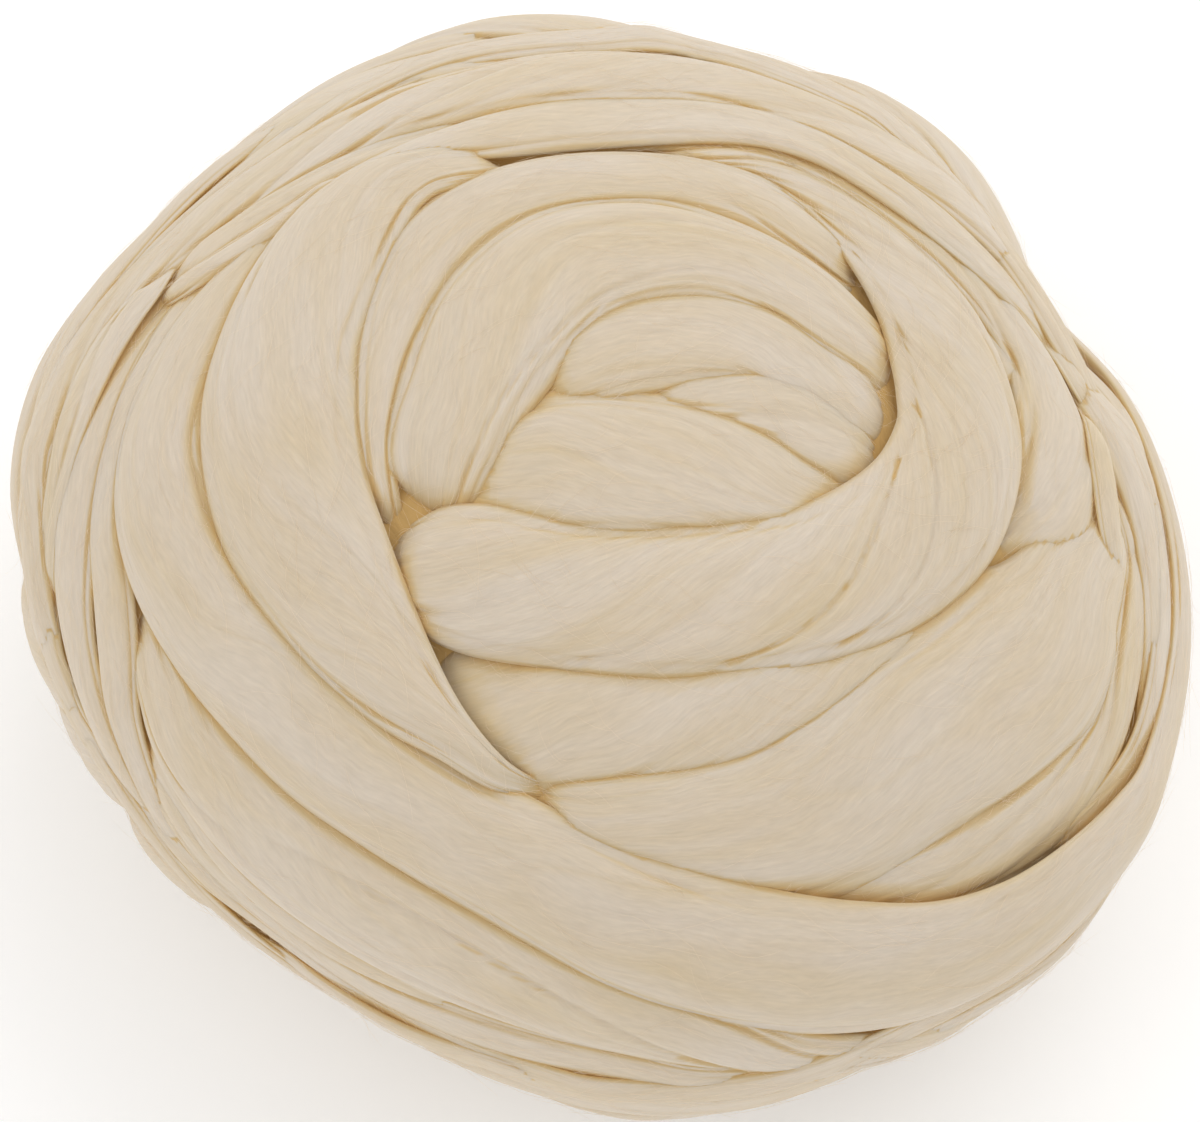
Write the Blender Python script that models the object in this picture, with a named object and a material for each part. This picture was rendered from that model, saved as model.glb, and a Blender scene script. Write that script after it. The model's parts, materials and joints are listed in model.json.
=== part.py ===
"""A hand-wound ball of undyed wool roving, set down on a table.

The ball is one solid: its wound form, with each main turn of the roving raised as a
soft flattened rope that lies over or under its neighbours.

How the shape is made
    1. The form is an ellipsoid with a few low swells round the rim of the ball's face.
       The top of every rope follows it at its own lift.
    2. TURNS holds the turns of the ball's face, each a route over a plan of that face.
       WRAPS holds the plain turns behind them, each a flat loop round the ball.
    3. Each turn is lofted as a closed rope, which is only a guide.
    4. A fine sphere is laid against the outside of all the ropes, thinned to a light
       skin that keeps the creases, and cut level where the ball rests.

Frame: metres, +Z up, the origin on the table below the middle of the ball.
"""

import math
from collections import namedtuple

import bmesh
import bpy
from mathutils import Matrix, Vector
from mathutils.bvhtree import BVHTree

MM = 0.001

# ---- Driving dimensions, in millimetres unless a name says otherwise ------------------
FORM = Vector((113.0, 101.5, 78.0))  # half sizes of the form that the ropes' tops follow
FORM_TURN = -31.5                    # degrees round +Z from +X to the form's longest side
FORM_HEIGHT = 76.0                   # the form's centre above the table
FACE_ELEVATION = 70.0                # degrees above the horizon at which the face looks
ROPE_FLATNESS = 0.30                 # a rope's thickness as a share of its width
ROPE_SQUARENESS = 2.1                # superellipse exponent of its section; 2 is round
FLARE = 0.50                         # how much wider its section grows below the middle
FLARE_FROM = 0.25                    # height at which that starts, in half thicknesses
CORE_DEPTH = 5.0                     # how far the plain core lies under the form
TUCK_LIFT = -9.0                     # lift at which a rope's end is hidden in the ball
TUCK_WIDTHS = (0.8, 0.5)             # a rope's last two widths, as shares, as it tucks in
END_STATIONS = 3.0                   # stations over which a rope's end rounds off
END_BLUNTNESS = 0.35                 # how far short of its tip the rounding stops
FOOT_RADIUS = 25.0                   # half width of the pressed patch under the ball
FOOT_BULGE = 9.0                     # half thickness of that patch, before it is cut
FOOT_SHARE = 0.4                     # share of that half thickness left above the table
WELD = 0.05                          # distance at which the level cut joins points

# ---- How a route goes round the back --------------------------------------------------
SWELL_FADE = 3.0         # how fast the swells fade away from the rim
SWELL_PASSES = 3         # passes that settle a place on the swollen form
RIM_SHARE = 0.92         # share of the form's outline past which a route turns the rim
RUN_ON_STEP = 15.0       # degrees between the points of a run round the back
WRAP_STEP = 12.0         # degrees between the points of a wrap
SINK_FROM = 94.0         # degrees from the face's middle at which a wrap starts to sink
SINK_TO = 62.0           # degrees from the face's middle at which it has sunk
SUNK_LIFT = -10.0        # lift of a wrap where it passes behind the face

# ---- Fineness -------------------------------------------------------------------------
STATION_STEP = 4.0       # between the rings of a guide rope, in millimetres
ROPE_SIDES = 20
SPHERE_LEVEL = 7         # subdivisions of the icosphere that is laid on the ropes
CORE_LEVEL = 5
SOFTEN_PASSES = 4
SKIN_TRIANGLES = 11200
RAY_REACH = 400.0        # millimetres from the centre at which the laying rays start

WOOL = (0.80, 0.72, 0.59, 1.0)

# A turn of the face. start and end are the degrees that it runs on round the back beyond
# the two ends of its route. Each point of a route has four columns, all in millimetres:
# right and up from the middle of the face, the rope's width, and the lift of its top
# over the form.
Turn = namedtuple("Turn", "name start end route")

TURNS = (
    Turn("heart", 0, 0, (
        (-29.9, 15.2, 12.5, -9), (-19.1, 13.3, 17.4, -1.5), (-7.5, 16.3, 24.8, 1),
        (4, 16.5, 26.6, 1.6), (15.5, 16.1, 24.4, 1.6), (26.2, 14.2, 20.6, 1), (35.1, 11.9, 15.3, -0.3),
        (42.8, 10.5, 9.8, -3), (50.7, 9.5, 5.4, -9))),
    Turn("heart_lip", 0, 0, (
        (-15.7, 27.8, 10.7, -9), (-5.8, 33.6, 13.5, -0.5), (5.8, 38.5, 16, 1.2),
        (18.3, 40.5, 16.1, 1.4), (29.1, 39, 14.7, 1), (38.9, 32.7, 14.3, 0), (47.4, 26.7, 11.8, -1.5),
        (53.7, 20.9, 8.1, -9))),
    Turn("wisp", 0, 0, (
        (0.5, 29.1, 5.4, -7), (12, 29.7, 8.5, -1.2), (24.5, 29.5, 12.8, 0), (33.4, 26.7, 15, 0.2),
        (41.1, 21.6, 14.3, -0.5), (47.3, 16.6, 10.7, -3), (53, 12.4, 6.3, -9))),
    Turn("brow", 0, 0, (
        (-29.9, 5.9, 11.8, -9), (-29, 12.6, 14.9, -0.5), (-27.8, 19.7, 19.9, 1.5),
        (-24.6, 29, 21.7, 2.2), (-17.4, 43, 26.4, 2.8), (-6.3, 52.9, 26.2, 3), (6.9, 56.1, 22.6, 2.8),
        (20.6, 54.8, 17.3, 2.4), (33.2, 49.6, 14.7, 2), (42.9, 42.6, 12.9, 1), (51.2, 35.1, 9.7, -2),
        (56.2, 27.3, 5.4, -9))),
    Turn("brow_edge", 0, 0, (
        (-36, 0.2, 6.1, -9), (-39.4, 10.8, 7.1, -1.5), (-40.5, 20.7, 7.8, -0.5), (-40, 28.7, 8.9, 0),
        (-38.7, 37.7, 10.7, 0.5), (-35.4, 47.2, 12.9, 1), (-30.2, 56.4, 14.4, 1.5),
        (-23, 62.7, 13.7, 1.5), (-14, 66.9, 12.3, 1.5), (-3.2, 69, 11.9, 1.5), (8.6, 69.3, 12, 1.2),
        (19.5, 68.1, 12, 1), (29.1, 65.2, 11.6, 0.6), (37.8, 59.3, 10.5, 0), (45.1, 53.1, 8.3, -2),
        (50.5, 47.6, 5.1, -9))),
    Turn("swirl", 0, 0, (
        (2.3, 74.5, 3.7, -9), (16.9, 74.4, 6.2, -1.5), (29.7, 72.6, 7.7, -0.5), (40.9, 66.5, 9.8, 0.3),
        (50.3, 58, 13.1, 1), (57.6, 48.8, 16.7, 1.8), (62.7, 39.1, 19.9, 2.4), (65.4, 29, 21.3, 2.6),
        (65.4, 19.9, 21.9, 2.7), (60.4, 9.1, 23.2, 2.8), (50.5, 0.9, 23.8, 2.8),
        (37.2, -4.4, 23.7, 2.8), (20.5, -6.5, 24, 2.8), (6.1, -6.7, 23.6, 2.8),
        (-7.3, -5.5, 22.2, 2.8), (-20.4, -3.2, 21.9, 2.6), (-29.2, -0.9, 18.4, 1.5),
        (-34.1, 0.2, 12.4, -2), (-38.8, 0.9, 7.1, -9))),
    Turn("shoulder", 0, 0, (
        (-29.1, 76.8, 4.8, -9), (-18.8, 77.5, 9.5, -2), (-6.8, 78.7, 10.6, -1),
        (7.8, 79.5, 10.6, -0.5), (21, 78.9, 10.3, 0), (33.5, 76.1, 9.2, 0.2), (45.4, 70.2, 9.9, 0.4),
        (56.3, 62.4, 10.2, 0.6), (65.5, 54.8, 10.3, 0.8), (73.9, 45.2, 11, 0.8), (80.5, 35.1, 14, 0.8),
        (83.7, 24.8, 17.2, 0.8), (84.1, 15.6, 18.2, 0.6), (81.2, 6.5, 17.4, -0.5),
        (73.5, -0.9, 11.5, -4), (66.2, -7, 7.2, -9))),
    Turn("cheek", 0, 0, (
        (-35.2, -19.8, 10.7, -9), (-26.1, -24.6, 18.4, -2), (-13.7, -27.4, 22.6, 0),
        (-1.3, -28.8, 22.9, 0.5), (11, -28.6, 21.5, 0.5), (23.4, -26.5, 19.1, 0.3),
        (35.8, -23.2, 16.3, 0), (48.3, -19, 13.5, -0.3), (59.3, -14.1, 10.3, -1.5),
        (70, -6.3, 6.5, -9))),
    Turn("chin", 0, 0, (
        (-17.3, -39, 7.1, -9), (-7.3, -43.7, 12.4, -1), (2.9, -46.1, 19.1, 0.8), (15, -46.9, 23.3, 1),
        (29.5, -45.9, 29.1, 0.8), (43.4, -40.7, 32.3, 1.2), (56.4, -32.9, 33.5, 1.5),
        (69.6, -25.6, 34.4, 1.5), (80.9, -16.1, 32.8, 1.2), (88.4, -3.8, 21.4, 0.5),
        (94.1, 5, 13.2, -2), (98.3, 14.2, 6.4, -9))),
    Turn("inner_side", 0, 0, (
        (93.1, 22.6, 5.6, -9), (96.9, 11.3, 8.1, -2.5), (99.9, 0.2, 9.6, -1.8),
        (98.6, -10.8, 10.7, -1.4), (95.9, -21.7, 12.1, -1.2), (92.7, -32.2, 12, -1.2),
        (85.3, -42.2, 15.9, -0.8), (74.3, -49.5, 16.6, -0.8), (62.9, -55.1, 14.3, -1),
        (51.3, -57.8, 11.8, -2), (41.5, -59.8, 8.6, -3.5), (30.9, -60.7, 5.4, -9))),
    Turn("outer_side", 0, 0, (
        (48.8, 71.6, 4.8, -9), (60.4, 63.6, 7.7, -2), (70.7, 55.3, 8.9, -1.2), (79, 46.3, 10.4, -1),
        (88.3, 36.4, 14.6, -0.6), (95.6, 25.8, 16, 0), (100.3, 16, 15.2, 0.3), (103.5, 5.8, 14.1, 0.4),
        (104.8, -5.4, 13, 0.3), (104.3, -16.4, 11.8, 0), (103, -26.6, 10.3, -0.6),
        (101.2, -35.8, 7.7, -2), (96.2, -44, 6.6, -4), (89.9, -50.7, 4.8, -9))),
    Turn("mantle", 0, 0, (
        (-14.9, 70.2, 5.5, -9), (-19.9, 71.5, 7.6, -0.8), (-25.9, 71.8, 9.1, 1.5),
        (-32.2, 70.7, 10.9, 2.5), (-39.1, 67, 15.2, 3.2), (-45.7, 60.3, 19.6, 3.6),
        (-51.1, 51.1, 22.4, 3.8), (-55.5, 40.6, 23.7, 3.8), (-57.4, 30.3, 25.5, 3.8),
        (-57.1, 19.8, 25.4, 3.8), (-54.4, 8.7, 24.6, 3.8), (-49.2, -2, 22.7, 3.7),
        (-42.4, -12.9, 19.1, 3.6), (-34.8, -22.4, 14.1, 3.4), (-26, -30.8, 8.1, 3),
        (-17.2, -37.9, 4.9, 2), (-8.4, -41.2, 2.5, -3), (-3.1, -42.5, 1.4, -9))),
    Turn("under_mantle", 0, 105, (
        (-48.6, 70.6, 4.4, -9), (-55.9, 62, 8.1, -2), (-64, 52.1, 10.9, 0.2), (-71.8, 41, 13.8, 1),
        (-77.1, 29.9, 15.6, 1.4), (-79.5, 20.1, 17.4, 1.6), (-78.6, 10.1, 19.5, 1.8),
        (-75.1, 0.2, 20.5, 2), (-68.3, -10.9, 20.8, 2.2), (-59.1, -21.6, 21.1, 2.4),
        (-48.3, -32.2, 21.7, 2.6), (-36.1, -41.3, 20.9, 2.7), (-21.9, -49.9, 21.6, 2.8),
        (-6.3, -58.6, 22.7, 2.9), (9.3, -66.2, 24.5, 3), (25.4, -71.1, 25, 2.8),
        (41.7, -73.7, 25.1, 2.6), (57.8, -73.4, 23.8, 2.6), (72.9, -68.6, 21.4, 2.8),
        (86, -60.2, 18.9, 3), (97.2, -49.6, 16.5, 3), (104, -38.5, 12.9, 2.5))),
    Turn("hip", 0, 100, (
        (-86, 0.2, 4.8, -9), (-81, -13.9, 9.4, -1.5), (-78.1, -22.6, 13.4, 0),
        (-73.2, -32.7, 18.1, 0.9), (-64.7, -43.4, 20.5, 1.4), (-53.1, -53.4, 22.3, 1.6),
        (-40.1, -61.9, 22.6, 1.6), (-26, -69.3, 21.9, 1.5), (-11.7, -75.8, 19.7, 1.2),
        (4.1, -81.2, 17.6, 0.8), (20.3, -85.9, 14.8, 0.2), (36.8, -89.9, 11.6, -0.5))),
    Turn("hip_fold", 0, 100, (
        (-84.3, -29.3, 3.7, -9), (-79.2, -41.9, 7.3, -2), (-73, -52.1, 8.8, -2),
        (-64.3, -61.3, 9.2, -2), (-53.4, -70.2, 9.5, -1.8), (-40.4, -77.9, 9.9, -1.5),
        (-26.8, -83.4, 10.2, -1.2), (-12.2, -87.9, 10.2, -1.2), (4.1, -91.5, 9.8, -1.2),
        (20.5, -94.3, 9.1, -1.2))),
    Turn("skirt", 45, 90, (
        (-99.5, -23.9, 8.2, -0.5), (-93.5, -35, 8.1, -0.8), (-84.6, -47, 8.1, -1.5),
        (-73.2, -58.8, 7.7, -2), (-60.4, -69.6, 7.4, -2.2), (-45.5, -79.3, 7, -2),
        (-28.7, -86.8, 6.9, -1.5), (-12.3, -93.2, 7.3, -1), (4.1, -96.7, 7.6, -0.5))),
    Turn("flank", 0, 75, (
        (-57.8, 62.7, 4.1, -9), (-66.2, 54.4, 7.3, -3), (-74.1, 45.9, 9.5, -1.2),
        (-80.9, 35.2, 9.9, -0.8), (-85.9, 25.7, 8.7, -0.6), (-88.4, 16.6, 8, -0.5),
        (-89.4, 5.6, 8.4, -0.4), (-88.3, -5.3, 9.5, -0.3), (-87.4, -16.2, 9.5, -0.4),
        (-86.7, -27.2, 8.4, -0.8), (-83.8, -37.9, 7.3, -1.5), (-79, -49.1, 6.3, -2.5),
        (-71.5, -59.6, 5.2, -4))),
    Turn("flank_fold", 0, 60, (
        (-69.3, 57.8, 4.1, -9), (-76.9, 50.9, 7.4, -3), (-83.7, 42.8, 8.8, -1.2),
        (-89, 33.2, 9.5, -0.5), (-92.9, 22.2, 11.7, 0), (-95.3, 11.2, 12.5, 0.2),
        (-96.3, 0.2, 12.1, 0.2), (-96, -10.8, 10.6, 0), (-93.5, -22.8, 9.2, -0.3),
        (-89.3, -34.8, 8.5, -1), (-83.4, -46.4, 7.4, -2.5))),
    Turn("flank_edge", 75, 75, (
        (-106.5, 11.3, 7.8, -0.5), (-105.3, 0.2, 8.2, -0.3), (-102.5, -10.9, 8.1, -0.3),
        (-99.9, -22, 7.8, -0.5))),
    Turn("crown", 50, 0, (
        (-103.8, 15, 9.6, 0.3), (-101.2, 26.1, 10, 0.3), (-96.6, 37.2, 11.1, 0.2),
        (-90, 46.9, 11.5, 0), (-81.7, 55.5, 13, -0.5), (-72.5, 63.3, 14.9, -0.8),
        (-62, 70.2, 16.3, -0.8), (-50.2, 77.1, 16.3, -0.5), (-37.6, 83, 15.5, 0),
        (-25, 86.4, 15.9, 0.6), (-11.7, 89, 15.9, 1.6), (2.7, 90, 15.9, 2.2), (17.2, 89.5, 15.2, 2.4),
        (30.1, 86.3, 14.4, 2.4), (43, 81.3, 13.7, 2.3), (55, 74.6, 13.7, 2), (65.7, 67.6, 13.3, 1.4),
        (75, 58.8, 10.4, 0), (81.4, 50.6, 7.5, -3), (87.2, 43, 4.6, -9))),
    Turn("crown_back", 60, 60, (
        (-50, 83.9, 11.2, -2), (-37, 91.2, 11.2, -1.6), (-25.4, 95.5, 11.3, -1.6),
        (-12.6, 97.2, 11.2, -1), (0.5, 98, 11.2, 0.2), (9.5, 98.8, 11.2, 2), (19.3, 97.5, 10.9, 1.2),
        (31.4, 93.4, 10.9, 2.2), (44.3, 87.9, 10.8, 1.8), (56.4, 80.7, 10.4, 0.8))),
)

# Plain turns laid side by side. Each is a flat loop, square to an axis that has a bearing
# (degrees round from +X) and a tilt (degrees above the horizon). The loops stand a pitch
# apart along the axis, and the first stands at the offset from the ball's middle.
Wrap = namedtuple("Wrap", "name bearing tilt count offset pitch width lift")

WRAPS = (
    Wrap("band_low", -90, 66, 5, -70, 22, 23, -1.4),
    Wrap("band_side", 232, 40, 4, -68, 22, 23, 0),
    Wrap("band_cross", 128, 30, 4, -76, 22, 23, 1.2),
)

# Where the wound ball stands out or in of its plain form, near the rim of its face. The
# bearing is in degrees anticlockwise from the right, as the face is looked at.
Swell = namedtuple("Swell", "bearing spread height")

SWELLS = (
    Swell(0, 10, -2.2),
    Swell(27, 10, -7.4),
    Swell(56, 14, 5.0),
    Swell(95, 16, 2.4),
    Swell(137, 14, -4.4),
    Swell(168, 9, 3.4),
    Swell(207, 7, -2.2),
    Swell(233, 15, -4.8),
    Swell(281, 18, 4.6),
    Swell(324, 16, 4.0),
)


def swell(direction):
    """How far the form stands out, in millimetres, where a unit direction meets it."""
    turn = Matrix.Rotation(math.radians(FORM_TURN), 3, "Z")
    point = turn @ Vector(direction[i] * FORM[i] for i in range(3))
    up = face_outward().cross(Vector((1.0, 0.0, 0.0)))
    bearing = math.degrees(math.atan2(point.dot(up), point.x))
    middle = unstretched(face_outward(), 0.0).normalized()
    rimward = 1.0 - direction.dot(middle) ** 2
    total = 0.0
    for place in SWELLS:
        gap = (bearing - place.bearing + 180.0) % 360.0 - 180.0
        total += place.height * math.exp(-(gap / place.spread) ** 2)
    return total * rimward ** SWELL_FADE


def stretched(direction, lift):
    """The point of the lifted form that a unit direction stands for."""
    grown = lift + swell(direction)
    point = Vector(direction[i] * (FORM[i] + grown) for i in range(3))
    return Matrix.Rotation(math.radians(FORM_TURN), 3, "Z") @ point


def unstretched(point, lift):
    """The reverse of stretched."""
    point = Matrix.Rotation(math.radians(-FORM_TURN), 3, "Z") @ point
    return Vector(point[i] / (FORM[i] + lift) for i in range(3))


def form_normal(point):
    """The outward unit normal of the form at a point on or near it."""
    share = unstretched(point, 0.0)
    slope = Vector(share[i] / FORM[i] for i in range(3))
    return (Matrix.Rotation(math.radians(FORM_TURN), 3, "Z") @ slope).normalized()


def face_outward():
    """The direction in which the ball's face looks."""
    elevation = math.radians(FACE_ELEVATION)
    return Vector((0.0, -math.cos(elevation), math.sin(elevation)))


def face_direction(right_mm, up_mm, lift):
    """The unit direction whose point on the lifted form is seen at a place on the plan."""
    direction = plain_direction(right_mm, up_mm, lift)
    for _ in range(SWELL_PASSES):
        direction = plain_direction(right_mm, up_mm, lift + swell(direction))
    return direction


def plain_direction(right_mm, up_mm, lift):
    """The same as face_direction, for the form without its swells."""
    right = Vector((1.0, 0.0, 0.0))
    up = face_outward().cross(right)
    seen = unstretched(right * right_mm + up * up_mm, lift)
    outward = unstretched(face_outward(), lift).normalized()
    sideways = seen - outward * seen.dot(outward)
    share = sideways.length
    if share < RIM_SHARE:
        return sideways + outward * math.sqrt(1.0 - share * share)
    slope = 1.0 / math.sqrt(1.0 - RIM_SHARE ** 2)
    reach = math.asin(RIM_SHARE) + (share - RIM_SHARE) * slope
    return outward * math.cos(reach) + sideways.normalized() * math.sin(reach)


def middle_lift(width, lift):
    """The lift of a rope's middle line, from the lift of its top."""
    return lift - 0.5 * width * ROPE_FLATNESS


def run_on(directions, degrees):
    """Directions that carry a route on past its last one, bending only round the ball."""
    axis = directions[-2].cross(directions[-1]).normalized()
    steps = max(1, round(degrees / RUN_ON_STEP))
    turn = math.radians(degrees / steps)
    return [Matrix.Rotation(turn * (i + 1), 3, axis) @ directions[-1] for i in range(steps)]


def extended(stations, degrees):
    """A list of (direction, width, lift) run on by degrees, with its last end tucked in."""
    if not degrees:
        return stations
    width, lift = stations[-1][1:]
    directions = run_on([station[0] for station in stations], degrees)
    more = [(direction, width, lift) for direction in directions]
    more[-2] = (directions[-2], TUCK_WIDTHS[0] * width, 0.5 * (lift + TUCK_LIFT))
    more[-1] = (directions[-1], TUCK_WIDTHS[1] * width, TUCK_LIFT)
    return stations + more


def turn_stations(turn):
    """The (direction, width, lift) list of a turn of the face, with its runs round the back."""
    stations = [(face_direction(right, up, middle_lift(width, lift)), width, lift)
                for right, up, width, lift in turn.route]
    stations = extended(stations, turn.end)
    return extended(stations[::-1], turn.start)[::-1]


def sunk(direction, lift):
    """A wrap's lift, eased down where it passes behind the face."""
    reach = math.degrees(stretched(direction, 0.0).angle(face_outward()))
    share = min(1.0, max(0.0, (SINK_FROM - reach) / (SINK_FROM - SINK_TO)))
    ease = share * share * (3.0 - 2.0 * share)
    return lift + (SUNK_LIFT - lift) * ease


def wrap_stations(wrap, index):
    """The closed (direction, width, lift) list of one loop of a wrap."""
    bearing = math.radians(wrap.bearing)
    tilt = math.radians(wrap.tilt)
    axis = Vector((math.cos(tilt) * math.cos(bearing),
                   math.cos(tilt) * math.sin(bearing),
                   math.sin(tilt)))
    half_size = stretched(axis, 0.0).length
    share = (wrap.offset + index * wrap.pitch) / half_size
    ring = math.sqrt(1.0 - share * share)
    first = axis.orthogonal().normalized()
    second = axis.cross(first)
    stations = []
    steps = round(360.0 / WRAP_STEP)
    for i in range(steps):
        angle = math.radians(i * 360.0 / steps)
        direction = axis * share + (first * math.cos(angle) + second * math.sin(angle)) * ring
        stations.append((direction, wrap.width, sunk(direction, wrap.lift)))
    return stations


def placed(station):
    """A station's point on the rope's middle line, in millimetres from the form's centre."""
    direction, width, lift = station
    return stretched(direction, middle_lift(width, lift))


def spline(values, at):
    """Catmull-Rom value at a position between the second and third of four values."""
    a, b, c, d = values
    return (b * 2.0 + (c - a) * at + (a * 2.0 - b * 5.0 + c * 4.0 - d) * at ** 2
            + (b * 3.0 - a - c * 3.0 + d) * at ** 3) * 0.5


def resampled(points, closed):
    """Points and widths of a route at close, even stations. Each row is (point, width)."""
    count = len(points)
    rows = []
    for i in range(count if closed else count - 1):
        near = [i - 1, i, i + 1, i + 2]
        near = [k % count if closed else min(max(k, 0), count - 1) for k in near]
        gap = (points[near[2]][0] - points[near[1]][0]).length
        steps = max(1, math.ceil(gap / STATION_STEP))
        for step in range(steps):
            at = step / steps
            point = spline([points[k][0] for k in near], at)
            width = spline([points[k][1] for k in near], at)
            rows.append((point, width))
    if not closed:
        rows.append(points[-1])
    return rows


def section(half_width, half_thickness):
    """The superellipse outline of a rope, as (across, outward) pairs."""
    power = 2.0 / ROPE_SQUARENESS
    pairs = []
    for i in range(ROPE_SIDES):
        angle = 2.0 * math.pi * i / ROPE_SIDES
        c = math.cos(angle)
        s = math.sin(angle)
        outward = math.copysign(abs(s) ** power, s)
        across = math.copysign(abs(c) ** power, c)
        across *= 1.0 + FLARE * min(max(FLARE_FROM - outward, 0.0), 1.0)
        pairs.append((half_width * across, half_thickness * outward))
    return pairs


def end_share(index, last):
    """How full a rope is at a station, rounding off over the few stations at each end."""
    nearest = min(index, last - index)
    if nearest >= END_STATIONS:
        return 1.0
    short = 1.0 - (nearest + END_BLUNTNESS) / (END_STATIONS + END_BLUNTNESS)
    return math.sqrt(1.0 - short * short)


def loft(bm, stations, closed):
    """Adds one closed rope along its stations to bm."""
    rows = resampled([(placed(s), s[1]) for s in stations], closed)
    count = len(rows)
    rings = []
    for i, (point, width) in enumerate(rows):
        before = rows[(i - 1) % count if closed else max(i - 1, 0)][0]
        after = rows[(i + 1) % count if closed else min(i + 1, count - 1)][0]
        tangent = (after - before).normalized()
        outward = form_normal(point)
        across = tangent.cross(outward).normalized()
        outward = across.cross(tangent)
        full = 1.0 if closed else end_share(i, count - 1)
        half_width = 0.5 * width * full
        ring = []
        for side, out in section(half_width, half_width * ROPE_FLATNESS):
            ring.append(bm.verts.new(point + across * side + outward * out))
        rings.append(ring)
    pairs = list(zip(rings, rings[1:]))
    if closed:
        pairs.append((rings[-1], rings[0]))
    for near, far in pairs:
        for k in range(ROPE_SIDES):
            after = (k + 1) % ROPE_SIDES
            bm.faces.new((near[k], far[k], far[after], near[after]))
    if not closed:
        bm.faces.new(rings[0])
        bm.faces.new(rings[-1][::-1])


def all_ropes():
    """One guide mesh in millimetres, centred on the form: ropes, core and foot patch."""
    bm = bmesh.new()
    for turn in TURNS:
        loft(bm, turn_stations(turn), closed=False)
    for wrap in WRAPS:
        for index in range(wrap.count):
            loft(bm, wrap_stations(wrap, index), closed=True)
    core = bmesh.ops.create_icosphere(bm, subdivisions=CORE_LEVEL, radius=1.0)
    for vert in core["verts"]:
        vert.co = stretched(vert.co, -CORE_DEPTH)
    foot = Matrix.Translation((0.0, 0.0, -FORM_HEIGHT + FOOT_BULGE * FOOT_SHARE))
    foot = foot @ Matrix.Diagonal((FOOT_RADIUS, FOOT_RADIUS, FOOT_BULGE, 1.0))
    bmesh.ops.create_icosphere(bm, subdivisions=CORE_LEVEL, radius=1.0, matrix=foot)
    bmesh.ops.triangulate(bm, faces=bm.faces[:])
    return bm


def lay_skin(guides):
    """A fine sphere whose every point is moved along its ray onto the guides' outside."""
    tree = BVHTree.FromBMesh(guides)
    skin = bmesh.new()
    bmesh.ops.create_icosphere(skin, subdivisions=SPHERE_LEVEL, radius=1.0)
    for vert in skin.verts:
        ray = stretched(vert.co, 0.0).normalized()
        vert.co = tree.ray_cast(ray * RAY_REACH, -ray)[0]
    for _ in range(SOFTEN_PASSES):
        bmesh.ops.smooth_vert(skin, verts=skin.verts[:], factor=0.5,
                              use_axis_x=True, use_axis_y=True, use_axis_z=True)
    return skin


def object_from(bm, name):
    """A named object at the origin, holding bm's mesh."""
    mesh = bpy.data.meshes.new(name)
    bm.to_mesh(mesh)
    bm.free()
    thing = bpy.data.objects.new(name, mesh)
    bpy.context.scene.collection.objects.link(thing)
    return thing


def thinned(thing, triangles):
    """A bmesh of the object's mesh after a collapse to about so many triangles."""
    collapse = thing.modifiers.new("thin", "DECIMATE")
    collapse.decimate_type = "COLLAPSE"
    collapse.ratio = triangles / len(thing.data.polygons)
    collapse.use_collapse_triangulate = True
    depsgraph = bpy.context.evaluated_depsgraph_get()
    bm = bmesh.new()
    bm.from_mesh(thing.evaluated_get(depsgraph).to_mesh())
    thing.evaluated_get(depsgraph).to_mesh_clear()
    return bm


def set_on_table(bm):
    """Moves the ball to the table, cuts it level there and centres it over the origin."""
    bmesh.ops.translate(bm, verts=bm.verts[:], vec=(0.0, 0.0, FORM_HEIGHT))
    cut = bmesh.ops.bisect_plane(bm, geom=bm.verts[:] + bm.edges[:] + bm.faces[:], dist=WELD,
                                 plane_co=(0, 0, 0), plane_no=(0, 0, 1), clear_inner=True)
    rim = [g for g in cut["geom_cut"] if isinstance(g, bmesh.types.BMEdge)]
    bmesh.ops.contextual_create(bm, geom=rim)
    xs = [v.co.x for v in bm.verts]
    ys = [v.co.y for v in bm.verts]
    middle = Vector((-0.5 * (min(xs) + max(xs)), -0.5 * (min(ys) + max(ys)), 0.0))
    bmesh.ops.translate(bm, verts=bm.verts[:], vec=middle)
    bmesh.ops.scale(bm, verts=bm.verts[:], vec=(MM, MM, MM))
    bmesh.ops.triangulate(bm, faces=bm.faces[:])
    bmesh.ops.recalc_face_normals(bm, faces=bm.faces[:])


def wool_material():
    """Undyed wool: warm cream and quite matt."""
    material = bpy.data.materials.new("undyed_wool")
    material.use_nodes = True
    shader = material.node_tree.nodes["Principled BSDF"]
    shader.inputs["Base Color"].default_value = WOOL
    shader.inputs["Roughness"].default_value = 0.95
    shader.inputs["Metallic"].default_value = 0.0
    return material


def main():
    for old in list(bpy.data.objects):
        bpy.data.objects.remove(old, do_unlink=True)
    guides = all_ropes()
    fine = object_from(lay_skin(guides), "laid_skin_guide")
    guides.free()
    skin = thinned(fine, SKIN_TRIANGLES)
    bpy.data.objects.remove(fine, do_unlink=True)
    set_on_table(skin)
    ball = object_from(skin, "roving_ball")
    ball.data.shade_smooth()
    ball.data.materials.append(wool_material())


main()
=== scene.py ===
"""A ball of undyed wool roving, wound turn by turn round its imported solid.

Every turn is its own closed mesh with a map of its length and breadth, so that its locks
and fibres run along it. Lengths in the tables are millimetres; the finished meshes are in
metres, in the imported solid's frame: +Z up, the origin on the table below the ball.
"""

import json
import math
from collections import namedtuple

import bmesh
import bpy
import numpy as np
from bpy.props import FloatProperty, FloatVectorProperty, IntProperty, PointerProperty
from mathutils import Matrix, Vector
from mathutils.bvhtree import BVHTree

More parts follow.
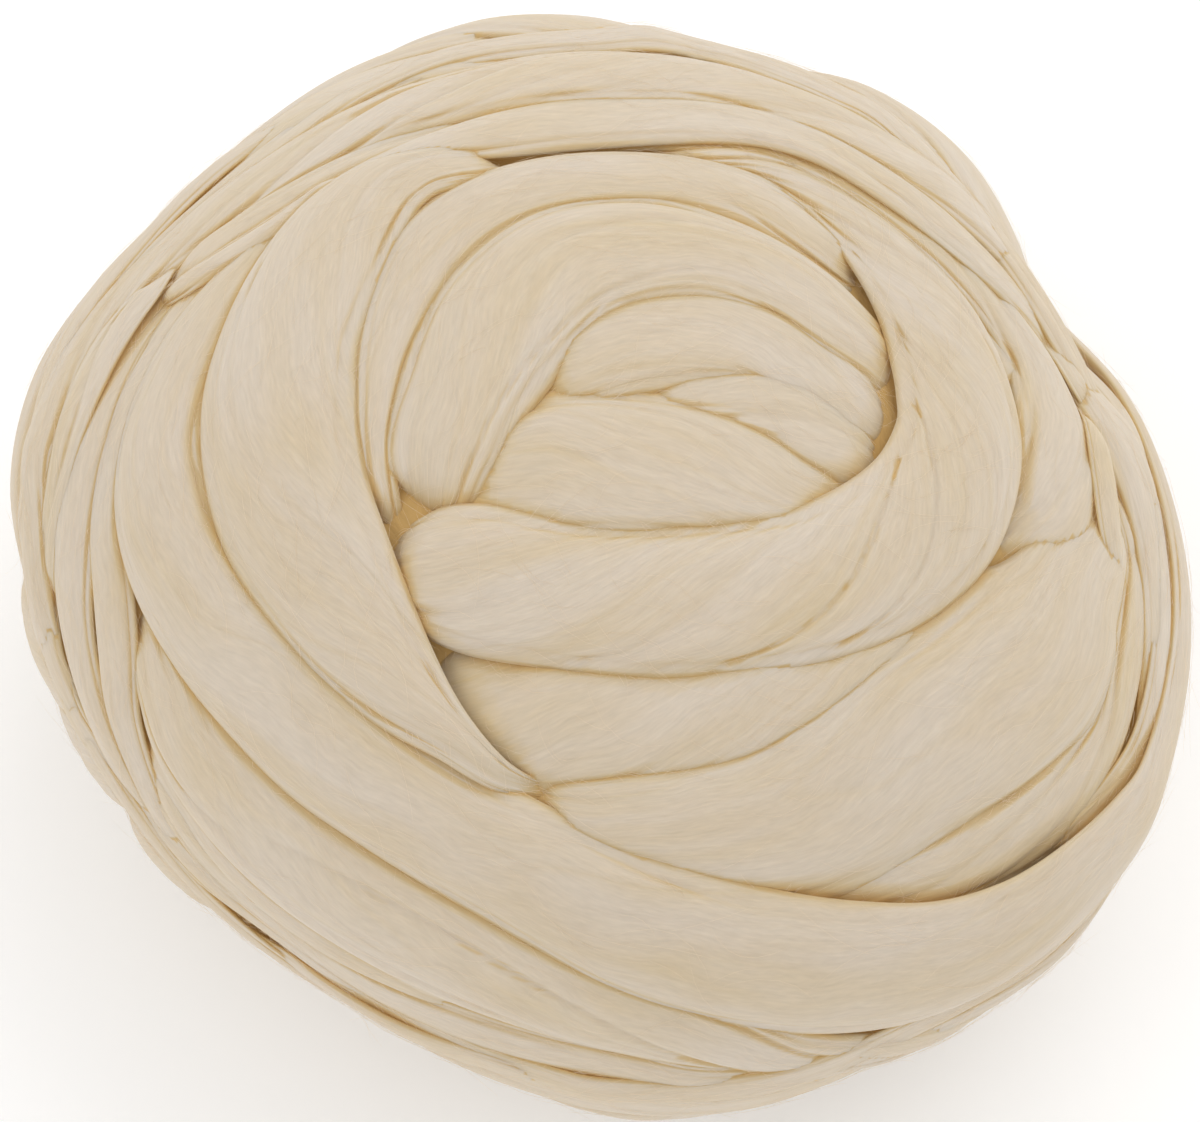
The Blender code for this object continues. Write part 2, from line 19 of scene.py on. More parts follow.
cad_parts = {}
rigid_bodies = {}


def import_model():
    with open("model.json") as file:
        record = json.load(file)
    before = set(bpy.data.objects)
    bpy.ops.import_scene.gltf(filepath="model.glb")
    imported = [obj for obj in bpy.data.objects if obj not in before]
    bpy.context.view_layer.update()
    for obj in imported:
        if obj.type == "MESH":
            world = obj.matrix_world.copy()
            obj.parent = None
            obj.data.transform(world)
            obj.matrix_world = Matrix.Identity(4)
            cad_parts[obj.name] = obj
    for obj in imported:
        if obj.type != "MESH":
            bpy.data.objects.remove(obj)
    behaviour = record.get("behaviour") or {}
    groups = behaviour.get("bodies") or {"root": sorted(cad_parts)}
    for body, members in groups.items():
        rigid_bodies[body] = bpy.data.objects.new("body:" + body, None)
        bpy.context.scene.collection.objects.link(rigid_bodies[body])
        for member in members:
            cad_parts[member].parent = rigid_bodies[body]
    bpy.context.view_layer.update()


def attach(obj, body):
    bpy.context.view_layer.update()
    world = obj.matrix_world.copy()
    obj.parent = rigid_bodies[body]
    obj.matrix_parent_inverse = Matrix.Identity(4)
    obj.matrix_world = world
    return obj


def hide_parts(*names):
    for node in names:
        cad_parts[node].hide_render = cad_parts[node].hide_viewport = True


bl_info = {
    "name": "Wool roving ball",
    "version": (1, 0, 0),
    "blender": (4, 5, 0),
    "location": "3D View > Sidebar > Roving",
    "description": "Winds a ball of undyed wool roving round its packed solid",
    "category": "Add Mesh",
}

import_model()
NODE = "roving_ball"

MM = 0.001
UV_UNIT = 10.0           # millimetres in one unit of a turn's UV map
WOOL_MAP = "along_and_across"
CORE_NAME = "packed_core"

# ---- The wound form, in millimetres unless a name says otherwise ----------------------
FORM = Vector((113.0, 101.5, 78.0))  # half sizes of the form that the turns' tops follow
FORM_TURN = -31.5                    # degrees round +Z from +X to the form's longest side
FORM_CENTRE = Vector((0.03, -0.13, 76.0))  # the form's centre over the middle of the table
FACE_ELEVATION = 70.0                # degrees above the horizon at which the face looks
ROPE_FLATNESS = 0.30                 # a turn's thickness as a share of its width
ROPE_SQUARENESS = 2.1                # superellipse exponent of its section; 2 is round
BED_DEPTH = 4.0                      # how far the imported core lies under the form
TUCK_LIFT = -9.0                     # lift at which a turn's end is hidden in the ball
TUCK_WIDTHS = (0.8, 0.5)             # a turn's last two widths, as shares, as it tucks in
END_LENGTH = 12.0                    # length over which a turn's end rounds off
SWELL_FADE = 3.0                     # how fast the swells fade away from the rim
SWELL_PASSES = 3                     # passes that settle a place on the swollen form
RIM_SHARE = 0.92                     # share of the outline past which a route turns the rim
RUN_ON_STEP = 15.0                   # degrees between the points of a run round the back
WRAP_STEP = 12.0                     # degrees between the points of a wrap
SINK_FROM = 94.0                     # degrees from the face where a wrap starts to sink
SINK_TO = 62.0                       # degrees from the face where it has sunk
SUNK_LIFT = -10.0                    # lift of a wrap where it passes behind the face
OUTER_SHARE = 0.80                   # share of a section's points on its outward half
FLARE = 0.50                         # how much wider a section grows below its middle
FLARE_FROM = 0.25                    # height at which that starts, in half thicknesses
FLOOR_GAP = 0.02                     # step between the pressed undersides of two turns
FLOOR_STEPS = 40                     # how many such steps there are before they start again
CORE_FLOOR_STEPS = 50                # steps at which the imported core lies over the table
FINE_SEED = 60                       # first seed of the fine turns' unevenness
SWAY_SEED = 90                       # added to a turn's seed for how its width sways
ROLL_SEED = 91                       # added to it for how the turn rolls
WANDER_SEED = 31                     # added to it for how its locks wander
LAY_SEEDS = 7                        # seeds between two layers of locks
SWAY_LENGTH = 55.0                   # length of one sway or roll of a turn
SWAY_SHARE = 0.05                    # how much a turn's width sways, as a share
ROLL_SHARE = 0.10                    # how much a turn rolls, as a share of its half thickness
ARC_WIDTHS = 1.25                    # length of a section's outward half, in widths
WANDER_SHARE = 0.8                   # how far locks wander, in breadths of a lock
GROOVE_POWER = 1.5                   # how sharply a groove closes at its bottom
RELIEF_SLOPE = 2.5                   # how fast the locks grow from a section's side outwards
RELIEF_AT_SIDE = 0.6                 # share of their relief at the section's side
RELIEF_AT_END = 0.35                 # share of it at a turn's end
TURN_UV_STEP = (611.0, 97.0)         # how far apart two turns lie on the map of the wool
WELD = 0.01                          # distance at which a turn's seam and poles close
FIBRE_WELD = 0.002                   # the same for a loose fibre

# Relief of the locks that lie along a turn. Each row is one layer: its grain (grooves
# between round locks, or plain swells), the length and breadth of one lock, the groove's
# share of that breadth, and its height. Lengths are in millimetres.
Lay = namedtuple("Lay", "grain length breadth groove height")

LAYS = (
    Lay("swell", 80, 9.0, 1.0, 0.55),
    Lay("groove", 130, 7.5, 0.32, 0.62),
    Lay("groove", 70, 4.2, 0.45, 0.24),
    Lay("swell", 45, 1.7, 1.0, 0.12),
)

# A turn of the face. start and end are the degrees that it runs on round the back beyond
# the two ends of its route. Each point of a route has four columns, all in millimetres:
# right and up from the middle of the face, the rope's width, and the lift of its top
# over the form.
Turn = namedtuple("Turn", "name start end route")

TURNS = (
    Turn("heart", 0, 0, (
        (-29.9, 15.2, 12.5, -9), (-19.1, 13.3, 17.4, -1.5), (-7.5, 16.3, 24.8, 1),
        (4, 16.5, 26.6, 1.6), (15.5, 16.1, 24.4, 1.6), (26.2, 14.2, 20.6, 1), (35.1, 11.9, 15.3, -0.3),
        (42.8, 10.5, 9.8, -3), (50.7, 9.5, 5.4, -9))),
    Turn("heart_lip", 0, 0, (
        (-15.7, 27.8, 10.7, -9), (-5.8, 33.6, 13.5, -0.5), (5.8, 38.5, 16, 1.2),
        (18.3, 40.5, 16.1, 1.4), (29.1, 39, 14.7, 1), (38.9, 32.7, 14.3, 0), (47.4, 26.7, 11.8, -1.5),
        (53.7, 20.9, 8.1, -9))),
    Turn("wisp", 0, 0, (
        (0.5, 29.1, 5.4, -7), (12, 29.7, 8.5, -1.2), (24.5, 29.5, 12.8, 0), (33.4, 26.7, 15, 0.2),
        (41.1, 21.6, 14.3, -0.5), (47.3, 16.6, 10.7, -3), (53, 12.4, 6.3, -9))),
    Turn("brow", 0, 0, (
        (-29.9, 5.9, 11.8, -9), (-29, 12.6, 14.9, -0.5), (-27.8, 19.7, 19.9, 1.5),
        (-24.6, 29, 21.7, 2.2), (-17.4, 43, 26.4, 2.8), (-6.3, 52.9, 26.2, 3), (6.9, 56.1, 22.6, 2.8),
        (20.6, 54.8, 17.3, 2.4), (33.2, 49.6, 14.7, 2), (42.9, 42.6, 12.9, 1), (51.2, 35.1, 9.7, -2),
        (56.2, 27.3, 5.4, -9))),
    Turn("brow_edge", 0, 0, (
        (-36, 0.2, 6.1, -9), (-39.4, 10.8, 7.1, -1.5), (-40.5, 20.7, 7.8, -0.5), (-40, 28.7, 8.9, 0),
        (-38.7, 37.7, 10.7, 0.5), (-35.4, 47.2, 12.9, 1), (-30.2, 56.4, 14.4, 1.5),
        (-23, 62.7, 13.7, 1.5), (-14, 66.9, 12.3, 1.5), (-3.2, 69, 11.9, 1.5), (8.6, 69.3, 12, 1.2),
        (19.5, 68.1, 12, 1), (29.1, 65.2, 11.6, 0.6), (37.8, 59.3, 10.5, 0), (45.1, 53.1, 8.3, -2),
        (50.5, 47.6, 5.1, -9))),
    Turn("swirl", 0, 0, (
        (2.3, 74.5, 3.7, -9), (16.9, 74.4, 6.2, -1.5), (29.7, 72.6, 7.7, -0.5), (40.9, 66.5, 9.8, 0.3),
        (50.3, 58, 13.1, 1), (57.6, 48.8, 16.7, 1.8), (62.7, 39.1, 19.9, 2.4), (65.4, 29, 21.3, 2.6),
        (65.4, 19.9, 21.9, 2.7), (60.4, 9.1, 23.2, 2.8), (50.5, 0.9, 23.8, 2.8),
        (37.2, -4.4, 23.7, 2.8), (20.5, -6.5, 24, 2.8), (6.1, -6.7, 23.6, 2.8),
        (-7.3, -5.5, 22.2, 2.8), (-20.4, -3.2, 21.9, 2.6), (-29.2, -0.9, 18.4, 1.5),
        (-34.1, 0.2, 12.4, -2), (-38.8, 0.9, 7.1, -9))),
    Turn("shoulder", 0, 0, (
        (-29.1, 76.8, 4.8, -9), (-18.8, 77.5, 9.5, -2), (-6.8, 78.7, 10.6, -1),
        (7.8, 79.5, 10.6, -0.5), (21, 78.9, 10.3, 0), (33.5, 76.1, 9.2, 0.2), (45.4, 70.2, 9.9, 0.4),
        (56.3, 62.4, 10.2, 0.6), (65.5, 54.8, 10.3, 0.8), (73.9, 45.2, 11, 0.8), (80.5, 35.1, 14, 0.8),
        (83.7, 24.8, 17.2, 0.8), (84.1, 15.6, 18.2, 0.6), (81.2, 6.5, 17.4, -0.5),
        (73.5, -0.9, 11.5, -4), (66.2, -7, 7.2, -9))),
    Turn("cheek", 0, 0, (
        (-35.2, -19.8, 10.7, -9), (-26.1, -24.6, 18.4, -2), (-13.7, -27.4, 22.6, 0),
        (-1.3, -28.8, 22.9, 0.5), (11, -28.6, 21.5, 0.5), (23.4, -26.5, 19.1, 0.3),
        (35.8, -23.2, 16.3, 0), (48.3, -19, 13.5, -0.3), (59.3, -14.1, 10.3, -1.5),
        (70, -6.3, 6.5, -9))),
    Turn("chin", 0, 0, (
        (-17.3, -39, 7.1, -9), (-7.3, -43.7, 12.4, -1), (2.9, -46.1, 19.1, 0.8), (15, -46.9, 23.3, 1),
        (29.5, -45.9, 29.1, 0.8), (43.4, -40.7, 32.3, 1.2), (56.4, -32.9, 33.5, 1.5),
        (69.6, -25.6, 34.4, 1.5), (80.9, -16.1, 32.8, 1.2), (88.4, -3.8, 21.4, 0.5),
        (94.1, 5, 13.2, -2), (98.3, 14.2, 6.4, -9))),
    Turn("inner_side", 0, 0, (
        (93.1, 22.6, 5.6, -9), (96.9, 11.3, 8.1, -2.5), (99.9, 0.2, 9.6, -1.8),
        (98.6, -10.8, 10.7, -1.4), (95.9, -21.7, 12.1, -1.2), (92.7, -32.2, 12, -1.2),
        (85.3, -42.2, 15.9, -0.8), (74.3, -49.5, 16.6, -0.8), (62.9, -55.1, 14.3, -1),
        (51.3, -57.8, 11.8, -2), (41.5, -59.8, 8.6, -3.5), (30.9, -60.7, 5.4, -9))),
    Turn("outer_side", 0, 0, (
        (48.8, 71.6, 4.8, -9), (60.4, 63.6, 7.7, -2), (70.7, 55.3, 8.9, -1.2), (79, 46.3, 10.4, -1),
        (88.3, 36.4, 14.6, -0.6), (95.6, 25.8, 16, 0), (100.3, 16, 15.2, 0.3), (103.5, 5.8, 14.1, 0.4),
        (104.8, -5.4, 13, 0.3), (104.3, -16.4, 11.8, 0), (103, -26.6, 10.3, -0.6),
        (101.2, -35.8, 7.7, -2), (96.2, -44, 6.6, -4), (89.9, -50.7, 4.8, -9))),
    Turn("mantle", 0, 0, (
        (-14.9, 70.2, 5.5, -9), (-19.9, 71.5, 7.6, -0.8), (-25.9, 71.8, 9.1, 1.5),
        (-32.2, 70.7, 10.9, 2.5), (-39.1, 67, 15.2, 3.2), (-45.7, 60.3, 19.6, 3.6),
        (-51.1, 51.1, 22.4, 3.8), (-55.5, 40.6, 23.7, 3.8), (-57.4, 30.3, 25.5, 3.8),
        (-57.1, 19.8, 25.4, 3.8), (-54.4, 8.7, 24.6, 3.8), (-49.2, -2, 22.7, 3.7),
        (-42.4, -12.9, 19.1, 3.6), (-34.8, -22.4, 14.1, 3.4), (-26, -30.8, 8.1, 3),
        (-17.2, -37.9, 4.9, 2), (-8.4, -41.2, 2.5, -3), (-3.1, -42.5, 1.4, -9))),
    Turn("under_mantle", 0, 105, (
        (-48.6, 70.6, 4.4, -9), (-55.9, 62, 8.1, -2), (-64, 52.1, 10.9, 0.2), (-71.8, 41, 13.8, 1),
        (-77.1, 29.9, 15.6, 1.4), (-79.5, 20.1, 17.4, 1.6), (-78.6, 10.1, 19.5, 1.8),
        (-75.1, 0.2, 20.5, 2), (-68.3, -10.9, 20.8, 2.2), (-59.1, -21.6, 21.1, 2.4),
        (-48.3, -32.2, 21.7, 2.6), (-36.1, -41.3, 20.9, 2.7), (-21.9, -49.9, 21.6, 2.8),
        (-6.3, -58.6, 22.7, 2.9), (9.3, -66.2, 24.5, 3), (25.4, -71.1, 25, 2.8),
        (41.7, -73.7, 25.1, 2.6), (57.8, -73.4, 23.8, 2.6), (72.9, -68.6, 21.4, 2.8),
        (86, -60.2, 18.9, 3), (97.2, -49.6, 16.5, 3), (104, -38.5, 12.9, 2.5))),
    Turn("hip", 0, 100, (
        (-86, 0.2, 4.8, -9), (-81, -13.9, 9.4, -1.5), (-78.1, -22.6, 13.4, 0),
        (-73.2, -32.7, 18.1, 0.9), (-64.7, -43.4, 20.5, 1.4), (-53.1, -53.4, 22.3, 1.6),
        (-40.1, -61.9, 22.6, 1.6), (-26, -69.3, 21.9, 1.5), (-11.7, -75.8, 19.7, 1.2),
        (4.1, -81.2, 17.6, 0.8), (20.3, -85.9, 14.8, 0.2), (36.8, -89.9, 11.6, -0.5))),
    Turn("hip_fold", 0, 100, (
        (-84.3, -29.3, 3.7, -9), (-79.2, -41.9, 7.3, -2), (-73, -52.1, 8.8, -2),
        (-64.3, -61.3, 9.2, -2), (-53.4, -70.2, 9.5, -1.8), (-40.4, -77.9, 9.9, -1.5),
        (-26.8, -83.4, 10.2, -1.2), (-12.2, -87.9, 10.2, -1.2), (4.1, -91.5, 9.8, -1.2),
        (20.5, -94.3, 9.1, -1.2))),
    Turn("skirt", 45, 90, (
        (-99.5, -23.9, 8.2, -0.5), (-93.5, -35, 8.1, -0.8), (-84.6, -47, 8.1, -1.5),
        (-73.2, -58.8, 7.7, -2), (-60.4, -69.6, 7.4, -2.2), (-45.5, -79.3, 7, -2),
        (-28.7, -86.8, 6.9, -1.5), (-12.3, -93.2, 7.3, -1), (4.1, -96.7, 7.6, -0.5))),
    Turn("flank", 0, 75, (
        (-57.8, 62.7, 4.1, -9), (-66.2, 54.4, 7.3, -3), (-74.1, 45.9, 9.5, -1.2),
        (-80.9, 35.2, 9.9, -0.8), (-85.9, 25.7, 8.7, -0.6), (-88.4, 16.6, 8, -0.5),
        (-89.4, 5.6, 8.4, -0.4), (-88.3, -5.3, 9.5, -0.3), (-87.4, -16.2, 9.5, -0.4),
        (-86.7, -27.2, 8.4, -0.8), (-83.8, -37.9, 7.3, -1.5), (-79, -49.1, 6.3, -2.5),
        (-71.5, -59.6, 5.2, -4))),
    Turn("flank_fold", 0, 60, (
        (-69.3, 57.8, 4.1, -9), (-76.9, 50.9, 7.4, -3), (-83.7, 42.8, 8.8, -1.2),
        (-89, 33.2, 9.5, -0.5), (-92.9, 22.2, 11.7, 0), (-95.3, 11.2, 12.5, 0.2),
        (-96.3, 0.2, 12.1, 0.2), (-96, -10.8, 10.6, 0), (-93.5, -22.8, 9.2, -0.3),
        (-89.3, -34.8, 8.5, -1), (-83.4, -46.4, 7.4, -2.5))),
    Turn("flank_edge", 75, 75, (
        (-106.5, 11.3, 7.8, -0.5), (-105.3, 0.2, 8.2, -0.3), (-102.5, -10.9, 8.1, -0.3),
        (-99.9, -22, 7.8, -0.5))),
    Turn("crown", 50, 0, (
        (-103.8, 15, 9.6, 0.3), (-101.2, 26.1, 10, 0.3), (-96.6, 37.2, 11.1, 0.2),
        (-90, 46.9, 11.5, 0), (-81.7, 55.5, 13, -0.5), (-72.5, 63.3, 14.9, -0.8),
        (-62, 70.2, 16.3, -0.8), (-50.2, 77.1, 16.3, -0.5), (-37.6, 83, 15.5, 0),
        (-25, 86.4, 15.9, 0.6), (-11.7, 89, 15.9, 1.6), (2.7, 90, 15.9, 2.2), (17.2, 89.5, 15.2, 2.4),
        (30.1, 86.3, 14.4, 2.4), (43, 81.3, 13.7, 2.3), (55, 74.6, 13.7, 2), (65.7, 67.6, 13.3, 1.4),
        (75, 58.8, 10.4, 0), (81.4, 50.6, 7.5, -3), (87.2, 43, 4.6, -9))),
    Turn("crown_back", 60, 60, (
        (-50, 83.9, 11.2, -2), (-37, 91.2, 11.2, -1.6), (-25.4, 95.5, 11.3, -1.6),
        (-12.6, 97.2, 11.2, -1), (0.5, 98, 11.2, 0.2), (9.5, 98.8, 11.2, 2), (19.3, 97.5, 10.9, 1.2),
        (31.4, 93.4, 10.9, 2.2), (44.3, 87.9, 10.8, 1.8), (56.4, 80.7, 10.4, 0.8))),
)

# Fine turns that lie along the seams between the main turns.
FINE_TURNS = (
    Turn("crown_seam", 0, 0, (
        (-61.6, 57.8, 2.2, -5), (-54.3, 63.2, 3.7, -0.6), (-46, 68.8, 5.1, 0.6),
        (-36.9, 73.1, 6.2, 1.2), (-26.9, 76.3, 8.4, 1.2), (-16, 78.5, 11.7, 1.1),
        (-4.1, 80.3, 13.2, 1.1), (7.8, 81.2, 12.8, 1.2), (19.8, 81.3, 11.8, 1.5),
        (31.3, 79.7, 10.3, 1.8), (43, 75.4, 9.2, 2), (54.7, 68, 8.8, 2), (65.4, 59.8, 8.4, 1.9),
        (75.3, 50.9, 8.1, 1.6), (83.6, 41.8, 7.4, 1.1), (89.3, 32.4, 5.9, 0.2), (93.9, 24, 3.3, -5))),
    Turn("flank_seam", 0, 0, (
        (-77.2, 56.3, 2.6, -5), (-81.6, 50.6, 5.2, 0.2), (-86.3, 45.1, 7, 0.8), (-90.7, 38.8, 8.5, 1),
        (-94.3, 31.4, 8.8, 1), (-97.2, 23.3, 8.4, 0.8), (-99.2, 14.5, 7.3, 0.6),
        (-100.7, 5.7, 6.6, 0.3), (-101, -3.5, 5.5, -0.4), (-100.9, -13.2, 3, -6))),
    Turn("rim_seam", 0, 0, (
        (100.5, 30.5, 2.7, -6), (102.4, 22.6, 4.5, -0.6), (104.7, 13.2, 6, 0.1),
        (105.9, 3.9, 6.7, 0.3), (105.7, -7.2, 7, 0.4), (104.5, -18.3, 7.4, 0.2),
        (102.2, -28.3, 7.7, 0), (98.8, -36.5, 8.1, -0.4), (93.2, -43.6, 8, -0.8),
        (86.2, -50, 6.9, -1.6), (78.7, -55.1, 3.6, -6))),
    Turn("hip_seam", 0, 0, (
        (89.7, 31.6, 2.6, -5), (91.1, 23.7, 4.4, 0.2), (92.4, 16.3, 5.5, 0.9), (93.2, 8.9, 5.5, 0.8),
        (94.1, 2, 4.7, -0.2), (95.3, -5.3, 3.3, -2.5), (96.8, -12.7, 1.8, -7))),
    Turn("skirt_seam", 0, 0, (
        (-76.3, -64.5, 2.6, -6), (-67.9, -70.4, 4.8, -1.2), (-58.8, -76.2, 5.9, -0.6),
        (-48.4, -81.8, 6.3, -0.4), (-36.2, -86.8, 6.2, -0.4), (-23.3, -90.8, 5.8, -0.6),
        (-10.5, -94.3, 4.7, -1.2), (2.3, -97.6, 2.6, -6))),
    Turn("lid_seam", 0, 0, (
        (-82.7, 46, 2.2, -5), (-76.9, 49.7, 4, -0.6), (-70.5, 54, 5.1, -0.2), (-63.5, 58.1, 5.5, -0.2),
        (-56.1, 63, 5.1, -0.2), (-48.9, 67.8, 4.4, -0.4), (-42.2, 71.9, 2.6, -5))),
    Turn("front_low", 0, 0, (
        (-66, -64, 6, -6), (-52, -75, 14, -2.6), (-38, -84.2, 18, -2.2), (-24.9, -91, 20, -2.2),
        (-8.7, -96.6, 20, -2.2), (8.4, -99.2, 20, -2.2), (27.9, -98.4, 20, -2.2),
        (42.3, -94.4, 19, -2.2), (56, -88.6, 17, -2.3), (69, -81, 15, -2.3), (79, -73.5, 14, -2.3),
        (88, -65, 12, -2.6), (95, -55, 6, -6))),
    Turn("left_low", 0, 0, (
        (-84, -26, 5, -6), (-78, -37, 11, -2), (-67.3, -51.5, 12, -1.8), (-57.6, -60.9, 12, -1.8),
        (-47, -68.4, 12, -1.8), (-37.2, -73.5, 12, -1.8), (-26, -78, 11, -2), (-14, -81, 5, -6))),
    Turn("lid_low", 0, 0, (
        (-82, 42, 5, -6), (-73.5, 53, 11, -1.8), (-64.4, 59.9, 12, -1.6), (-52.6, 66.8, 12, -1.6),
        (-42.5, 71.6, 12, -1.6), (-33.5, 74.6, 12, -1.6), (-24, 76.5, 11, -1.8), (-12, 73, 5, -6))),
    Turn("side_low", 0, 0, (
        (48, 50, 5, -6), (60, 46.5, 10, -2), (68.5, 41.5, 12, -1.8), (76, 33, 12, -1.8),
        (83.5, 24, 12, -1.8), (89.2, 16, 12, -1.8), (92.5, 7, 10, -2), (95, -4, 5, -6))),
)

# Plain turns laid side by side. Each is a flat loop, square to an axis that has a bearing
# (degrees round from +X) and a tilt (degrees above the horizon). The loops stand a pitch
# apart along the axis, and the first stands at the offset from the ball's middle.
Wrap = namedtuple("Wrap", "name bearing tilt count offset pitch width lift")

WRAPS = (
    Wrap("band_low", -90, 66, 5, -70, 22, 23, -1.4),
    Wrap("band_side", 232, 40, 4, -68, 22, 23, 0),
    Wrap("band_cross", 128, 30, 4, -76, 22, 23, 1.2),
)

# Where the wound ball stands out or in of its plain form, near the rim of its face. The
# bearing is in degrees anticlockwise from the right, as the face is looked at.
Swell = namedtuple("Swell", "bearing spread height")

SWELLS = (
    Swell(0, 10, -2.2),
    Swell(27, 10, -7.4),
    Swell(56, 14, 5.0),
    Swell(95, 16, 2.4),
    Swell(137, 14, -4.4),
    Swell(168, 9, 3.4),
    Swell(207, 7, -2.2),
    Swell(233, 15, -4.8),
    Swell(281, 18, 4.6),
    Swell(324, 16, 4.0),
)

# How a turn's fibres lie: how many degrees they lean from its run, and how strongly their
# locks stand out. A turn that isn't here takes the plain lie.
Lie = namedtuple("Lie", "lean relief")

PLAIN_LIE = Lie(0, 1.0)
WRAP_LIE = Lie(0, 0.5)
LIES = {
    "heart": Lie(-12, 0.5), "heart_lip": Lie(-8, 0.5), "wisp": Lie(12, 0.8),
    "brow": Lie(6, 0.9), "swirl": Lie(26, 0.9), "cheek": Lie(20, 0.6), "chin": Lie(6, 0.5),
    "inner_side": Lie(8, 0.9), "shoulder": Lie(-6, 0.9), "mantle": Lie(14, 0.7),
    "under_mantle": Lie(4, 0.6), "hip": Lie(-4, 1.3), "crown": Lie(12, 1.2),
}


# ---- Where the turns run --------------------------------------------------------------
def swell(direction):
    """How far the form stands out, in millimetres, where a unit direction meets it."""
    turn = Matrix.Rotation(math.radians(FORM_TURN), 3, "Z")
    point = turn @ Vector(direction[i] * FORM[i] for i in range(3))
    up = face_outward().cross(Vector((1.0, 0.0, 0.0)))
    bearing = math.degrees(math.atan2(point.dot(up), point.x))
    middle = unstretched(face_outward(), 0.0).normalized()
    rimward = 1.0 - direction.dot(middle) ** 2
    total = 0.0
    for place in SWELLS:
        gap = (bearing - place.bearing + 180.0) % 360.0 - 180.0
        total += place.height * math.exp(-(gap / place.spread) ** 2)
    return total * rimward ** SWELL_FADE


def stretched(direction, lift):
    """The point of the lifted form that a unit direction stands for."""
    grown = lift + swell(direction)
    point = Vector(direction[i] * (FORM[i] + grown) for i in range(3))
    return Matrix.Rotation(math.radians(FORM_TURN), 3, "Z") @ point


def unstretched(point, lift):
    """The reverse of stretched."""
    point = Matrix.Rotation(math.radians(-FORM_TURN), 3, "Z") @ point
    return Vector(point[i] / (FORM[i] + lift) for i in range(3))


def form_normal(point):
    """The outward unit normal of the form at a point on or near it."""
    share = unstretched(point, 0.0)
    slope = Vector(share[i] / FORM[i] for i in range(3))
    return (Matrix.Rotation(math.radians(FORM_TURN), 3, "Z") @ slope).normalized()


def face_outward():
    """The direction in which the ball's face looks."""
    elevation = math.radians(FACE_ELEVATION)
    return Vector((0.0, -math.cos(elevation), math.sin(elevation)))


def face_direction(right_mm, up_mm, lift):
    """The unit direction whose point on the lifted form is seen at a place on the plan."""
    direction = plain_direction(right_mm, up_mm, lift)
    for _ in range(SWELL_PASSES):
        direction = plain_direction(right_mm, up_mm, lift + swell(direction))
    return direction


def plain_direction(right_mm, up_mm, lift):
    """The same as face_direction, for the form without its swells."""
    right = Vector((1.0, 0.0, 0.0))
    up = face_outward().cross(right)
    seen = unstretched(right * right_mm + up * up_mm, lift)
    outward = unstretched(face_outward(), lift).normalized()
    sideways = seen - outward * seen.dot(outward)
    share = sideways.length
    if share < RIM_SHARE:
        return sideways + outward * math.sqrt(1.0 - share * share)
    slope = 1.0 / math.sqrt(1.0 - RIM_SHARE ** 2)
    reach = math.asin(RIM_SHARE) + (share - RIM_SHARE) * slope
    return outward * math.cos(reach) + sideways.normalized() * math.sin(reach)


def middle_lift(width, lift):
    """The lift of a rope's middle line, from the lift of its top."""
    return lift - 0.5 * width * ROPE_FLATNESS


def run_on(directions, degrees):
    """Directions that carry a route on past its last one, bending only round the ball."""
    axis = directions[-2].cross(directions[-1]).normalized()
    steps = max(1, round(degrees / RUN_ON_STEP))
    turn = math.radians(degrees / steps)
    return [Matrix.Rotation(turn * (i + 1), 3, axis) @ directions[-1] for i in range(steps)]


def extended(stations, degrees):
    """A list of (direction, width, lift) run on by degrees, with its last end tucked in."""
    if not degrees:
        return stations
    width, lift = stations[-1][1:]
    directions = run_on([station[0] for station in stations], degrees)
    more = [(direction, width, lift) for direction in directions]
    more[-2] = (directions[-2], TUCK_WIDTHS[0] * width, 0.5 * (lift + TUCK_LIFT))
    more[-1] = (directions[-1], TUCK_WIDTHS[1] * width, TUCK_LIFT)
    return stations + more


def turn_stations(turn):
    """The (direction, width, lift) list of a turn of the face, with its runs round the back."""
    stations = [(face_direction(right, up, middle_lift(width, lift)), width, lift)
                for right, up, width, lift in turn.route]
    stations = extended(stations, turn.end)
    return extended(stations[::-1], turn.start)[::-1]


def sunk(direction, lift):
    """A wrap's lift, eased down where it passes behind the face."""
    reach = math.degrees(stretched(direction, 0.0).angle(face_outward()))
    share = min(1.0, max(0.0, (SINK_FROM - reach) / (SINK_FROM - SINK_TO)))
    ease = share * share * (3.0 - 2.0 * share)
    return lift + (SUNK_LIFT - lift) * ease


def wrap_stations(wrap, index):
    """The closed (direction, width, lift) list of one loop of a wrap."""
    bearing = math.radians(wrap.bearing)
    tilt = math.radians(wrap.tilt)
    axis = Vector((math.cos(tilt) * math.cos(bearing),
                   math.cos(tilt) * math.sin(bearing),
                   math.sin(tilt)))
    half_size = stretched(axis, 0.0).length
    share = (wrap.offset + index * wrap.pitch) / half_size
    ring = math.sqrt(1.0 - share * share)
    first = axis.orthogonal().normalized()
    second = axis.cross(first)
    stations = []
    steps = round(360.0 / WRAP_STEP)
    for i in range(steps):
        angle = math.radians(i * 360.0 / steps)
        direction = axis * share + (first * math.cos(angle) + second * math.sin(angle)) * ring
        stations.append((direction, wrap.width, sunk(direction, wrap.lift)))
    return stations


def placed(station):
    """A station's point on the rope's middle line, in millimetres from the form's centre."""
    direction, width, lift = station
    return stretched(direction, middle_lift(width, lift))


